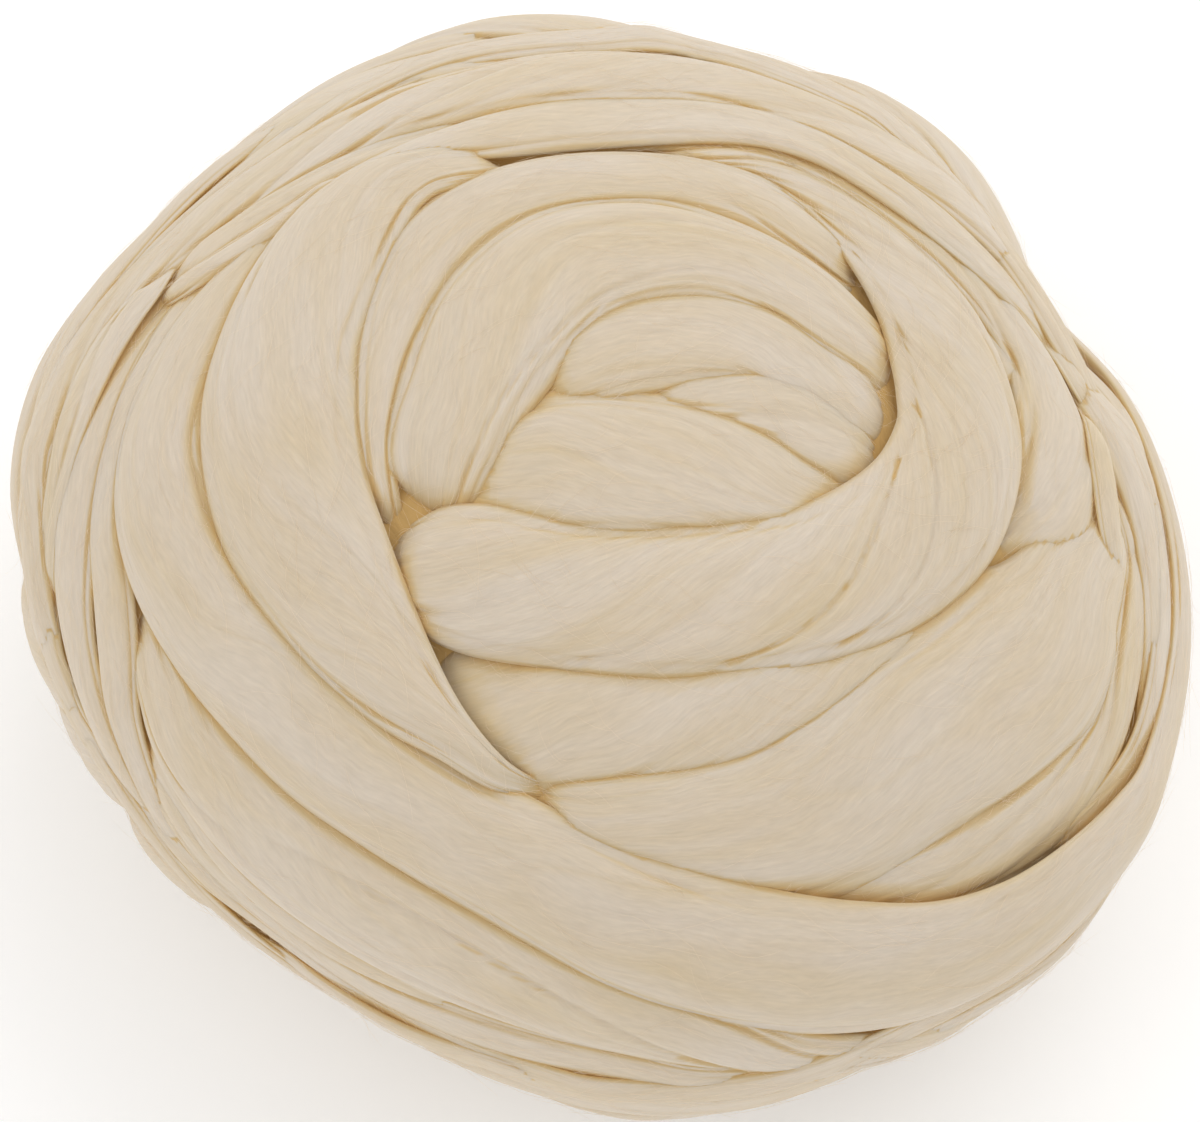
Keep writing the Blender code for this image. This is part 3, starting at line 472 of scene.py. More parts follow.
def curve_through(values, closed, step):
    """Smooth values through control rows. Each row is (x, y, z, width), a step apart."""
    count = len(values)
    rows = []
    for i in range(count if closed else count - 1):
        near = [i - 1, i, i + 1, i + 2]
        near = [k % count if closed else min(max(k, 0), count - 1) for k in near]
        a, b, c, d = (values[k] for k in near)
        steps = max(1, math.ceil(np.linalg.norm(c[:3] - b[:3]) / step))
        for at in np.arange(steps) / steps:
            rows.append((b * 2.0 + (c - a) * at + (a * 2.0 - b * 5.0 + c * 4.0 - d) * at ** 2
                         + (b * 3.0 - a - c * 3.0 + d) * at ** 3) * 0.5)
    rows.append(values[0] if closed else values[-1])
    return np.array(rows)


# ---- Repeatable unevenness ------------------------------------------------------------
def lattice(column, row, seed):
    """Repeatable numbers from -1 to 1 at whole-number places."""
    mixed = (column * 374761393 + row * 668265263 + seed * 1442695041) & 0xFFFFFFFF
    mixed = ((mixed ^ (mixed >> 13)) * 1274126177) & 0xFFFFFFFF
    return ((mixed ^ (mixed >> 16)) & 0xFFFF) / 32767.5 - 1.0


def unevenness(x, y, seed, repeat=0):
    """Smooth noise from -1 to 1. With repeat, it comes round again after so many in x."""
    left = np.floor(x).astype(np.int64)
    below = np.floor(y).astype(np.int64)
    right = left + 1
    if repeat:
        left, right = left % repeat, right % repeat
    fx = x - np.floor(x)
    fy = y - np.floor(y)
    fx = fx * fx * (3.0 - 2.0 * fx)
    fy = fy * fy * (3.0 - 2.0 * fy)
    low = lattice(left, below, seed) * (1.0 - fx) + lattice(right, below, seed) * fx
    high = lattice(left, below + 1, seed) * (1.0 - fx) + lattice(right, below + 1, seed) * fx
    return low * (1.0 - fy) + high * fy


def lock_relief(along, across, length, seed, closed):
    """Height of the locks, in millimetres, along and across a turn of some length."""
    height = np.zeros(np.broadcast(along, across).shape)
    for index, lay in enumerate(LAYS):
        cells = max(2, round(length / lay.length))
        x = along / length * cells
        repeat = cells if closed else 0
        wander = unevenness(x, np.zeros_like(x), seed + WANDER_SEED + index, repeat)
        n = unevenness(x, across / lay.breadth + wander * WANDER_SHARE,
                       seed + index * LAY_SEEDS, repeat)
        if lay.grain == "groove":
            depth = np.clip(1.0 - np.abs(n) / lay.groove, 0.0, 1.0)
            height -= lay.height * depth ** GROOVE_POWER
        else:
            height += lay.height * n
    return height


# ---- Building one turn ----------------------------------------------------------------
def section_angles(sides):
    """Angles round a section from its inward side, close together on its outward half."""
    share = np.linspace(0.0, 1.0, sides + 1)
    inner = (1.0 - OUTER_SHARE) / 2.0
    knots = [0.0, inner, 1.0 - inner, 1.0]
    return np.interp(share, knots, np.radians([-90.0, 0.0, 180.0, 270.0]))


def rows_of(data, field, columns):
    """The values of one field of a mesh's data, as rows."""
    flat = np.empty(len(data) * columns)
    data.foreach_get(field, flat)
    return flat.reshape(-1, columns)


def new_mesh(bm, name):
    """A mesh made from a bmesh, which is then freed."""
    mesh = bpy.data.meshes.new(name)
    bm.to_mesh(mesh)
    bm.free()
    return mesh


def grid_mesh(name, stations, sides):
    """A flat grid mesh, and the station and side number of each of its vertices."""
    bm = bmesh.new()
    bm.loops.layers.uv.new(WOOL_MAP)
    bmesh.ops.create_grid(bm, x_segments=stations - 1, y_segments=sides, size=0.5,
                          calc_uvs=True)
    mesh = new_mesh(bm, name)
    flat = rows_of(mesh.vertices, "co", 3) + 0.5
    station = np.rint(flat[:, 0] * (stations - 1)).astype(int)
    side = np.rint(flat[:, 1] * sides).astype(int)
    return mesh, station, side


def weld_and_face_out(mesh, distance):
    """Closes a mesh's seam and poles, and turns its faces outwards."""
    bm = bmesh.new()
    bm.from_mesh(mesh)
    bmesh.ops.remove_doubles(bm, verts=bm.verts[:], dist=distance)
    bmesh.ops.recalc_face_normals(bm, faces=bm.faces[:])
    bm.to_mesh(mesh)
    bm.free()


def end_fullness(along, length):
    """How full an open turn is, from its two rounded ends to its middle."""
    nearest = np.minimum(along, length - along) / END_LENGTH
    return np.sqrt(1.0 - (1.0 - np.clip(nearest, 0.0, 1.0)) ** 2)


def directions_along(path, closed):
    """The unit directions along, across and out of the ball at each point of a path."""
    if closed:
        tangent = np.roll(path[:-1], -1, axis=0) - np.roll(path[:-1], 1, axis=0)
        tangent = np.vstack((tangent, tangent[:1]))
    else:
        tangent = np.gradient(path, axis=0)
    tangent /= np.linalg.norm(tangent, axis=1, keepdims=True)
    outward = np.array([form_normal(Vector(p)) for p in path])
    across = np.cross(tangent, outward)
    across /= np.linalg.norm(across, axis=1, keepdims=True)
    return tangent, across, np.cross(across, tangent)


def unit_section(angle):
    """How far a section reaches sideways and outward at each angle, from -1 to about 1."""
    power = 2.0 / ROPE_SQUARENESS
    side = np.sign(np.cos(angle)) * np.abs(np.cos(angle)) ** power
    out = np.sign(np.sin(angle)) * np.abs(np.sin(angle)) ** power
    return side * (1.0 + FLARE * np.clip(FLARE_FROM - out, 0.0, 1.0)), out


def wind(name, stations, closed, seed, shape):
    """Builds one turn of the roving as a closed mesh that lies along its stations."""
    controls = np.array([(*placed(s), s[1]) for s in stations])
    lie = WRAP_LIE if closed else LIES.get(name.removeprefix("turn_"), PLAIN_LIE)
    lean = math.radians(lie.lean)
    step = shape.wrap_step if closed else shape.turn_step * (1.0 - abs(math.tan(lean)))
    sides = shape.wrap_sides if closed else shape.turn_sides
    rows = curve_through(controls, closed, step / MM)
    path, width = rows[:, :3], rows[:, 3]
    steps = np.linalg.norm(np.diff(path, axis=0), axis=1)
    along = np.concatenate(([0.0], np.cumsum(steps)))
    length = along[-1]
    full = np.ones(len(along)) if closed else end_fullness(along, length)
    tangent, across, outward = directions_along(path, closed)

    cells = max(2, round(length / SWAY_LENGTH))
    x = along / length * cells
    repeat = cells if closed else 0
    sway = unevenness(x, np.full_like(x, 0.5), seed + SWAY_SEED, repeat)
    roll = unevenness(x, np.full_like(x, 3.5), seed + ROLL_SEED, repeat)
    half_width = 0.5 * width * full * (1.0 + SWAY_SHARE * sway)
    half_thick = 0.5 * width * full * ROPE_FLATNESS

    angle = section_angles(sides)
    side_unit, out_unit = unit_section(angle)
    lateral = (angle / math.pi - 0.5) * float(np.median(width)) * ARC_WIDTHS
    drift = 0.0 if closed else -math.tan(lean)
    relief = lie.relief * lock_relief(along[:, None], lateral[None, :] + drift * along[:, None],
                                      length, seed, closed)
    fade = (np.clip(out_unit * RELIEF_SLOPE + RELIEF_AT_SIDE, 0.0, 1.0)[None, :]
            * (RELIEF_AT_END + (1.0 - RELIEF_AT_END) * full[:, None]))
    relief = relief * fade * (shape.lock_relief / MM) * np.minimum(1.0, full[:, None])
    slope = np.stack((side_unit, out_unit / ROPE_FLATNESS))
    slope /= np.linalg.norm(slope, axis=0)
    side = half_width[:, None] * side_unit + relief * slope[0]
    out = (half_thick[:, None] * (out_unit + ROLL_SHARE * roll[:, None] * side_unit)
           + relief * slope[1])
    if not closed:
        side[[0, -1]] = 0.0
        out[[0, -1]] = 0.0

    mesh, station, number = grid_mesh(name, len(along), sides)
    points = (path[station] + across[station] * side[station, number][:, None]
              + outward[station] * out[station, number][:, None]) + np.array(FORM_CENTRE)
    points[:, 2] = np.maximum(points[:, 2], FLOOR_GAP * (1 + seed % FLOOR_STEPS))
    mesh.vertices.foreach_set("co", (points * MM).ravel())
    corner = np.empty(len(mesh.loops), dtype=np.int32)
    mesh.loops.foreach_get("vertex_index", corner)
    run, rise = along[station[corner]], lateral[number[corner]]
    uv = np.stack((run * math.cos(lean) + rise * math.sin(lean) + TURN_UV_STEP[0] * seed,
                   rise * math.cos(lean) - run * math.sin(lean) + TURN_UV_STEP[1] * seed))
    mesh.uv_layers[0].data.foreach_set("uv", (uv.T / UV_UNIT).ravel())
    combed = mesh.attributes.new("lie", "FLOAT_VECTOR", "POINT")
    combed.data.foreach_set("vector", (tangent[station] * math.cos(lean)
                                       + across[station] * math.sin(lean)).ravel())
    weld_and_face_out(mesh, WELD * MM)
    return finished(mesh, name)


def finished(mesh, name):
    """A smooth wool object made from a mesh, riding on the ball."""
    mesh.shade_smooth()
    piece = bpy.data.objects.new(name, mesh)
    bpy.context.scene.collection.objects.link(piece)
    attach(piece, "root")
    return piece


def wool_pieces():
    """The turns and wraps wound so far."""
    return [o for o in bpy.context.scene.objects if o.name.startswith(("turn_", "wrap_"))]


# ---- How closely other wool shuts each place in ---------------------------------------
CREASE_REACH = 4.5       # millimetres within which other wool makes a crease
HOLLOW_REACH = 11.0      # millimetres within which it makes a hollow
LOOK_TILT = 67.0         # degrees from the normal at which a place is looked out from
LOOKS = 6                # directions in which it is looked out
LOOK_START = 0.12        # millimetres off the wool at which a look starts


def all_wool(pieces):
    """One search tree over the faces of all the pieces, in metres."""
    corners, faces, start = [], [], 0
    for piece in pieces:
        mesh = piece.data
        corners.append(rows_of(mesh.vertices, "co", 3))
        faces.extend(tuple(start + v for v in face.vertices) for face in mesh.polygons)
        start += len(mesh.vertices)
    return BVHTree.FromPolygons(np.concatenate(corners).tolist(), faces)


def mark_creases(pieces, tree):
    """Gives each piece the attributes crease and hollow, from 0 in the open to about 1."""
    tilt = math.radians(LOOK_TILT)
    for piece in pieces:
        mesh = piece.data
        total = len(mesh.vertices)
        normals = rows_of(mesh.vertex_normals, "vector", 3)
        helper = np.where(np.abs(normals[:, :1]) < 0.7, (1.0, 0.0, 0.0), (0.0, 1.0, 0.0))
        first = np.cross(normals, helper)
        first /= np.linalg.norm(first, axis=1, keepdims=True)
        second = np.cross(normals, first)
        starts = (rows_of(mesh.vertices, "co", 3) + normals * (LOOK_START * MM)).tolist()
        shut = {"crease": np.zeros(total), "hollow": np.zeros(total)}
        for look in range(LOOKS):
            turn = 2.0 * math.pi * look / LOOKS
            rays = normals * math.cos(tilt) + (first * math.cos(turn)
                                               + second * math.sin(turn)) * math.sin(tilt)
            found = (tree.ray_cast(start, ray, HOLLOW_REACH * MM)[3]
                     for start, ray in zip(starts, rays.tolist()))
            gap = np.array([HOLLOW_REACH if d is None else d / MM for d in found])
            shut["crease"] += np.clip(1.0 - gap / CREASE_REACH, 0.0, 1.0) / LOOKS
            shut["hollow"] += (1.0 - gap / HOLLOW_REACH) / LOOKS
        for name, values in shut.items():
            layer = mesh.attributes.new(name, "FLOAT", "POINT")
            layer.data.foreach_set("value", values)


# ---- Building the loose fibres --------------------------------------------------------
FIBRE_SIDES = 3
FIBRE_BEND = 0.22        # how far fibres bend sideways, as a share of their length
FIBRE_TILT = 0.35        # how unevenly a fibre's two ends rise, in rises
FIBRE_ROOT = 0.3         # how deep its ends go into the wool, in rises
FIBRE_OUTWARD = 0.35     # least share by which a root faces out of the ball
FIBRE_FLOOR = 2.0        # millimetres over the table below which no fibre grows
FIBRE_CLEAR = 0.05       # millimetres that fibres keep off the table
ROOT_SEED = 5            # seeds of the groups' roots, then of their shapes
FIBRE_SEED = 50

# Loose fibres. Each group grows from places shut in between the two crease values, in one
# mesh. Lengths, rises off the wool and thicknesses are in millimetres. A spread is in
# radians to either side of the way the turn's own fibres lie.
Fibres = namedtuple("Fibres", "name low high count points length rise spread thickness")

FIBRES = (
    Fibres("fibres_on_turns", 0.0, 0.05, 2400, 7, (8.0, 26.0), (0.2, 0.9), 0.40, 0.045),
    Fibres("fuzz_in_creases", 0.05, 0.50, 8500, 4, (2.0, 6.5), (0.2, 0.9), 0.80, 0.06),
)


def fibre_mesh(group, roots, normals, tangents, seed):
    """One mesh of many thin fibres. Each leaves the wool at a root and falls back to it."""
    rng = np.random.default_rng(seed)
    count = len(roots)
    length = rng.uniform(*group.length, count)[:, None]
    heading = rng.normal(0.0, group.spread, count)[:, None]
    sideways = np.cross(normals, tangents)
    forward = tangents * np.cos(heading) + sideways * np.sin(heading)
    bend = sideways * rng.normal(0.0, FIBRE_BEND, count)[:, None]
    rise = rng.uniform(*group.rise, count)[:, None]
    tilt = rng.normal(0.0, FIBRE_TILT, count)[:, None]
    places = np.linspace(0.0, 1.0, group.points)
    lines = np.stack([roots + (forward * (t - 0.5) + bend * (4.0 * (t - 0.5) ** 2)) * length
                      + normals * (rise * (4.0 * t * (1.0 - t) - FIBRE_ROOT)
                                   + tilt * rise * (t - 0.5)) for t in places], axis=1)
    thick = 0.5 * group.thickness * np.sqrt(np.clip(4.0 * places * (1.0 - places), 0.0, 1.0))
    rows = FIBRE_SIDES + 1
    mesh, station, row = grid_mesh(group.name, group.points, count * rows - 1)
    fibre = row // rows
    turn = 2.0 * math.pi * (row % rows) / FIBRE_SIDES
    ring = sideways[fibre] * np.cos(turn)[:, None] + normals[fibre] * np.sin(turn)[:, None]
    points = lines[fibre, station] + ring * thick[station][:, None]
    points[:, 2] = np.maximum(points[:, 2], FIBRE_CLEAR)
    mesh.vertices.foreach_set("co", (points * MM).ravel())
    bm = bmesh.new()
    bm.from_mesh(mesh)
    between = [f for f in bm.faces if len({fibre[v.index] for v in f.verts}) > 1]
    bmesh.ops.delete(bm, geom=between, context="FACES")
    bm.to_mesh(mesh)
    bm.free()
    weld_and_face_out(mesh, FIBRE_WELD * MM)
    return mesh


def fibre_roots(group, seed):
    """Places, normals and directions, in millimetres, from which a group's fibres grow."""
    places, normals, tangents = [], [], []
    for piece in wool_pieces():
        mesh = piece.data
        co = rows_of(mesh.vertices, "co", 3) / MM
        normal = rows_of(mesh.vertex_normals, "vector", 3)
        shut = rows_of(mesh.attributes["crease"].data, "value", 1)[:, 0]
        radial = co - np.array(FORM_CENTRE)
        radial /= np.linalg.norm(radial, axis=1, keepdims=True)
        outward = np.einsum("ij,ij->i", radial, normal)
        fit = ((shut >= group.low) & (shut <= group.high)
               & (outward > FIBRE_OUTWARD) & (co[:, 2] > FIBRE_FLOOR))
        axis = rows_of(mesh.attributes["lie"].data, "vector", 3)
        places.append(co[fit])
        normals.append(normal[fit])
        tangents.append(axis[fit])
    places, normals, tangents = (np.concatenate(a) for a in (places, normals, tangents))
    chosen = np.random.default_rng(seed).choice(len(places), group.count, replace=False)
    return places[chosen], normals[chosen], tangents[chosen]


# ---- Materials ------------------------------------------------------------------------
class Amount:
    """A number that varies over a surface. Arithmetic on it adds Math nodes."""

    def __init__(self, tree, socket):
        self.tree = tree
        self.socket = socket

    def _math(self, operation, *values):
        node = self.tree.nodes.new("ShaderNodeMath")
        node.operation = operation
        for slot, value in zip(node.inputs, values):
            feed(self.tree, slot, value)
        return Amount(self.tree, node.outputs[0])

    def __add__(self, other):
        return self._math("ADD", self, other)

    def __radd__(self, other):
        return self._math("ADD", other, self)

    def __sub__(self, other):
        return self._math("SUBTRACT", self, other)

    def __rsub__(self, other):
        return self._math("SUBTRACT", other, self)

    def __mul__(self, other):
        return self._math("MULTIPLY", self, other)

    def __rmul__(self, other):
        return self._math("MULTIPLY", other, self)

    def __abs__(self):
        return self._math("ABSOLUTE", self)

    def within(self, low, high):
        """The share from 0 to 1 at which this lies between low and high."""
        node = self.tree.nodes.new("ShaderNodeMapRange")
        feed(self.tree, node.inputs["Value"], self)
        feed(self.tree, node.inputs["From Min"], low)
        feed(self.tree, node.inputs["From Max"], high)
        return Amount(self.tree, node.outputs["Result"])


def feed(tree, slot, value):
    """Links or sets one input socket."""
    if isinstance(value, Amount):
        tree.links.new(value.socket, slot)
    else:
        slot.default_value = value


class Finish:
    """A material that is built node by node."""

    def __init__(self, name):
        self.material = bpy.data.materials.new(name)
        self.material.use_nodes = True
        self.tree = self.material.node_tree
        self.shader = self.tree.nodes["Principled BSDF"]

    def node(self, kind, settings=None, sockets=None, output=0):
        """Adds a node, its settings first, and returns one of its outputs."""
        node = self.tree.nodes.new(kind)
        for key, value in (settings or {}).items():
            setattr(node, key, value)
        for key, value in (sockets or {}).items():
            feed(self.tree, node.inputs[key], value)
        return Amount(self.tree, node.outputs[output])

    def scaled(self, vector, x, y, z):
        """A vector stretched along each axis."""
        return self.node("ShaderNodeMapping", None, {"Vector": vector, "Scale": (x, y, z)})

    def noise(self, vector, scale, detail, roughness):
        """Smooth noise from 0 to 1."""
        return self.node("ShaderNodeTexNoise", None,
                         {"Vector": vector, "Scale": scale, "Detail": detail,
                          "Roughness": roughness})

    def swayed(self, vector, scale, amount):
        """A vector whose lines sway from side to side."""
        drift = self.node("ShaderNodeTexNoise", None,
                          {"Vector": vector, "Scale": scale, "Detail": 1.0}, 1)
        return self.node("ShaderNodeVectorMath", {"operation": "MULTIPLY_ADD"},
                         {0: drift, 1: (0.0, amount, 0.0), 2: vector})

    def grain(self, lay, grain):
        """Noise drawn out along a turn, with a grain from the table."""
        return self.noise(self.scaled(lay, grain.along, grain.across, 1.0), 1.0,
                          grain.detail, grain.roughness)

    def shut_in(self, attribute):
        """How far a place is shut in, by one of its two attributes."""
        return self.node("ShaderNodeAttribute", {"attribute_name": attribute}, None, 2)

    def blend(self, share, first, second):
        """A colour between two, by a share."""
        return self.node("ShaderNodeMix", {"data_type": "RGBA"},
                         {0: share, 6: first, 7: second}, 2)

    def toned(self, colour, amount):
        """A colour made lighter or darker by an amount."""
        return self.node("ShaderNodeVectorMath", {"operation": "SCALE"},
                         {"Vector": colour, "Scale": amount})

    def set(self, **values):
        """Sets or links the shader's own sockets. An underscore stands for a space."""
        for key, value in values.items():
            feed(self.tree, self.shader.inputs[key.replace("_", " ")], value)
        return self.material


def rgba(colour):
    """A colour with its alpha."""
    return (*colour, 1.0)


# The grains of combed wool, in the units of its map: how often each comes along and across
# a turn, and the detail and roughness of its noise.
Grain = namedtuple("Grain", "along across detail roughness")

LOCKS = Grain(0.14, 1.5, 2.0, 0.5)
FOLDS = Grain(0.10, 0.8, 1.0, 0.5)
BLUSHES = Grain(0.22, 0.9, 1.0, 0.5)
STRANDS = Grain(0.45, 6.0, 2.0, 0.5)
SINGLE_FIBRES = Grain(1.6, 19.0, 2.0, 0.6)
FUZZ = Grain(4.0, 34.0, 1.0, 0.5)

BLACK = (0.0, 0.0, 0.0, 1.0)
LOCK_SWAY = (0.35, 0.5)      # how often the locks sway along a turn, and how far
FIBRE_SWAY = (1.6, 0.08)     # the same for the fibres
FOLD_LINE = 0.028            # half width of a fold, in the folds' noise
BLUSH_SHARE = 0.7            # how far the blush, the pale strands, the painted shade beside a crease and the painted shade in a fold cover what lies under them
PALE_SHARE = 0.35            # crease and the gold in a fold cover what lies under them
HOLLOW_SHADE_SHARE = 0.75
FOLD_SHADE_SHARE = 0.15
FIBRE_TONE = 0.22            # how much lighter and darker single fibres and fuzz are
FUZZ_TONE = 0.14


def combed_wool(wool):
    """Combed wool: short soft fibres that lie along each turn, with painted shade that turns its
    creases tan, its hollows and folds gold and its locks' valleys darker, and a painted glow in its
    creases.
    """
    finish = Finish("combed_wool")
    lay = finish.node("ShaderNodeUVMap", {"uv_map": WOOL_MAP})
    hollow = finish.shut_in("hollow")
    crease = finish.shut_in("crease")
    lay = finish.swayed(lay, *LOCK_SWAY)
    locks = finish.grain(lay, LOCKS)
    folds = finish.grain(lay, FOLDS)
    blush = finish.grain(lay, BLUSHES)
    strands = finish.grain(lay, STRANDS)
    lay = finish.swayed(lay, *FIBRE_SWAY)
    fibres = finish.grain(lay, SINGLE_FIBRES)
    fuzz = finish.grain(lay, FUZZ)
    fold = 1.0 - abs(folds - 0.5).within(0.0, FOLD_LINE)
    # Painted shade: wool shut in by other wool in a hollow, and the groove of each fold, is coloured
    # gold.
    hollow_and_fold_shade = hollow.within(0.0, 0.30) * HOLLOW_SHADE_SHARE + fold * FOLD_SHADE_SHARE
    # Painted shade: where the locks' bump sinks, the wool takes the darker, yellower lock valley
    # shade.
    body = finish.blend(locks.within(0.3, 0.7), rgba(wool.lock_valley_shade), rgba(wool.cream))
    body = finish.blend(blush.within(0.4, 0.65) * BLUSH_SHARE, body, rgba(wool.blush))
    # The raised strands of the bump are paler: partly the fibres' own paler tone, partly a painted
    # highlight on their tops.
    body = finish.blend(strands.within(0.35, 0.75) * PALE_SHARE, body, rgba(wool.pale))
    body = finish.blend(hollow_and_fold_shade, body, rgba(wool.gold_and_hollow_shade))
    # Painted shade: wool shut in by other wool within a few millimetres, deep in a crease, is coloured
    # tan.
    body = finish.blend(crease.within(0.06, 0.40) * wool.crease_shade, body, rgba(wool.tan))
    body = finish.toned(body, 1.0 + (fibres - 0.5) * FIBRE_TONE + (fuzz - 0.5) * FUZZ_TONE)
    # Painted glow: creases give off a faint tan light through emission.
    glow = finish.blend(crease.within(0.2, 0.7), BLACK, rgba(wool.glow))
    height = locks * 0.4 + strands * 0.16 + fibres * 0.10 + fuzz * 0.05 - fold * 0.2
    normal = finish.node("ShaderNodeBump", None,
                         {"Strength": 1.0, "Distance": wool.fibre_relief, "Height": height})
    return finish.set(Base_Color=body, Roughness=0.95, Metallic=0.0, Normal=normal,
                      Sheen_Weight=0.25, Sheen_Roughness=0.6, Specular_IOR_Level=0.08,
                      Sheen_Tint=rgba(wool.pale), Subsurface_Weight=0.35,
                      Subsurface_Radius=(0.005, 0.0042, 0.0034), Subsurface_Scale=1.0,
                      Emission_Color=glow, Emission_Strength=1.0)


def loose_fibre(wool):
    """The loose fibres on the wool: pale, and uneven from one to the next, with a painted tan glow."""
    finish = Finish("loose_fibre")
    place = finish.node("ShaderNodeTexCoord", None, None, 3)
    tone = finish.noise(place, 90.0, 2.0, 0.5)
    colour = finish.blend(tone.within(0.35, 0.65), rgba(wool.cream), rgba(wool.pale))
    # Painted glow: a faint tan light given off through emission lightens the fibres.
    return finish.set(Base_Color=colour, Roughness=0.7, Metallic=0.0,
                      Specular_IOR_Level=0.3, Emission_Color=rgba(wool.tan),
                      Emission_Strength=0.35)


def packed_wool(wool):
    """The wool that the turns are bedded in, seen only between them, with painted shade in its hollows
    and creases and a painted glow in its hollows.
    """
    finish = Finish("packed_wool")
    place = finish.node("ShaderNodeTexCoord", None, None, 3)
    crease = finish.shut_in("crease")
    hollow = finish.shut_in("hollow")
    place = finish.swayed(place, 60.0, 0.004)
    strands = finish.noise(finish.scaled(place, 110.0, 110.0, 900.0), 1.0, 3.0, 0.6)
    body = finish.blend(strands.within(0.3, 0.7), rgba(wool.gold_and_hollow_shade), rgba(wool.cream))
    # Painted shade: the packed wool is coloured tan in its hollows and darker still in its creases.
    body = finish.blend(hollow.within(0.0, 0.35), body, rgba(wool.tan))
    body = finish.blend(crease.within(0.1, 0.6), body, rgba(wool.deep))
    body = finish.toned(body, 0.8 + strands * 0.4)
    # Painted glow: its hollows give off a tan light through emission.
    glow = finish.blend(hollow.within(0.2, 0.6), BLACK, rgba(wool.glow))
    normal = finish.node("ShaderNodeBump", None, {"Distance": 0.0008, "Height": strands})
    return finish.set(Base_Color=body, Roughness=0.95, Metallic=0.0, Normal=normal,
                      Specular_IOR_Level=0.1, Emission_Color=glow, Emission_Strength=0.7)


# ---- What a user may change -----------------------------------------------------------
class RovingShape(bpy.types.PropertyGroup):
    """Sizes and fineness of the turns."""

    lock_relief: FloatProperty(
        name="Lock relief", description="How strongly the locks stand out along a turn",
        default=0.001, min=0.0, max=0.003, unit="LENGTH")
    turn_step: FloatProperty(
        name="Turn step", description="Distance between the rings of a turn of the face",
        default=0.0018, min=0.001, max=0.01, unit="LENGTH")
    wrap_step: FloatProperty(
        name="Wrap step", description="Distance between the rings of a wrap behind the face",
        default=0.0022, min=0.001, max=0.01, unit="LENGTH")
    turn_sides: IntProperty(
        name="Turn sides", description="Points round the section of a turn", default=64,
        min=12, max=200)
    wrap_sides: IntProperty(
        name="Wrap sides", description="Points round the section of a wrap", default=40,
        min=12, max=200)


class RovingWool(bpy.types.PropertyGroup):
    """Colours and fibres of the wool, with the painted shade and glow of its creases and hollows."""

    cream: FloatVectorProperty(
        name="Cream", description="The wool's main colour", subtype="COLOR", size=3,
        default=(0.592, 0.502, 0.394))
    pale: FloatVectorProperty(
        name="Pale", description="The palest fibres", subtype="COLOR", size=3,
        default=(0.612, 0.540, 0.452))
    blush: FloatVectorProperty(
        name="Blush", description="The whiter, pinker locks", subtype="COLOR", size=3,
        default=(0.600, 0.526, 0.442))
    # Painted shade for the low valleys between the locks, where their bump sinks.
    lock_valley_shade: FloatVectorProperty(
        name="Shade", description="The darker locks", subtype="COLOR", size=3,
        default=(0.575, 0.470, 0.322))
    # Painted shade beside a crease and along a fold; the packed core's strands also blend between it
    # and cream.
    gold_and_hollow_shade: FloatVectorProperty(
        name="Gold", description="The yellower wool beside a crease", subtype="COLOR",
        size=3, default=(0.58, 0.45, 0.255))
    # Painted shade: the tan of wool deep in a crease and of the packed core's hollows; it also colours
    # the loose fibres' painted glow.
    tan: FloatVectorProperty(
        name="Tan", description="The wool deep in a crease", subtype="COLOR", size=3,
        default=(0.50, 0.335, 0.14))
    # Painted shade for the packed wool deep in a crease between turns.
    deep: FloatVectorProperty(
        name="Deep", description="Colour of the packed wool in a gap between turns",
        subtype="COLOR", size=3, default=(0.36, 0.21, 0.07))
    # Painted glow, given off through emission in creases and hollows.
    glow: FloatVectorProperty(
        name="Glow", description="Light that soaks through the wool into a crease",
        subtype="COLOR", size=3, default=(0.12, 0.075, 0.026))
    # How far painted shade turns a crease tan.
    crease_shade: FloatProperty(
        name="Crease tint", description="How far a crease turns tan", default=0.85,
        min=0.0, max=1.0, subtype="FACTOR")
    fibre_relief: FloatProperty(
        name="Fibre relief", description="Height of the fibres in the wool's surface",
        default=0.0004, min=0.0, max=0.002, unit="LENGTH")


class RovingStudio(bpy.types.PropertyGroup):
    """The floor, the lights and the camera."""

    view_elevation: FloatProperty(
        name="View elevation", description="The camera's angle above the horizon",
        default=math.radians(70.0), subtype="ANGLE")
    view_distance: FloatProperty(
        name="View distance", description="Distance from the camera to the ball's middle",
        default=1.2, unit="LENGTH")
    view_width: FloatProperty(
        name="View width", description="Width of the picture at the ball's middle",
        default=0.2264, unit="LENGTH")
    key_power: FloatProperty(
        name="Key light", description="Power of the main light", default=7.0,
        subtype="POWER", unit="POWER")
    fill_power: FloatProperty(
        name="Fill light", description="Power of the fill light", default=3.0,
        subtype="POWER", unit="POWER")
    sky: FloatProperty(
        name="Sky", description="Strength of the light from all round", default=0.92)


# ---- Operators ------------------------------------------------------------------------
class ROVING_OT_core(bpy.types.Operator):
    """Packs the middle of the ball, below all the turns"""

    bl_idname = "roving.core"
    bl_label = "Packed core"

    def execute(self, context):
        bm = bmesh.new()
        bmesh.ops.create_icosphere(bm, subdivisions=5, radius=1.0)
        for vert in bm.verts:
            vert.co = (stretched(vert.co, -BED_DEPTH) + FORM_CENTRE) * MM
            vert.co.z = max(vert.co.z, FLOOR_GAP * CORE_FLOOR_STEPS * MM)
        core = finished(new_mesh(bm, CORE_NAME), CORE_NAME)
        core.data.materials.append(packed_wool(context.scene.roving_wool))
        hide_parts(NODE)
        return {"FINISHED"}


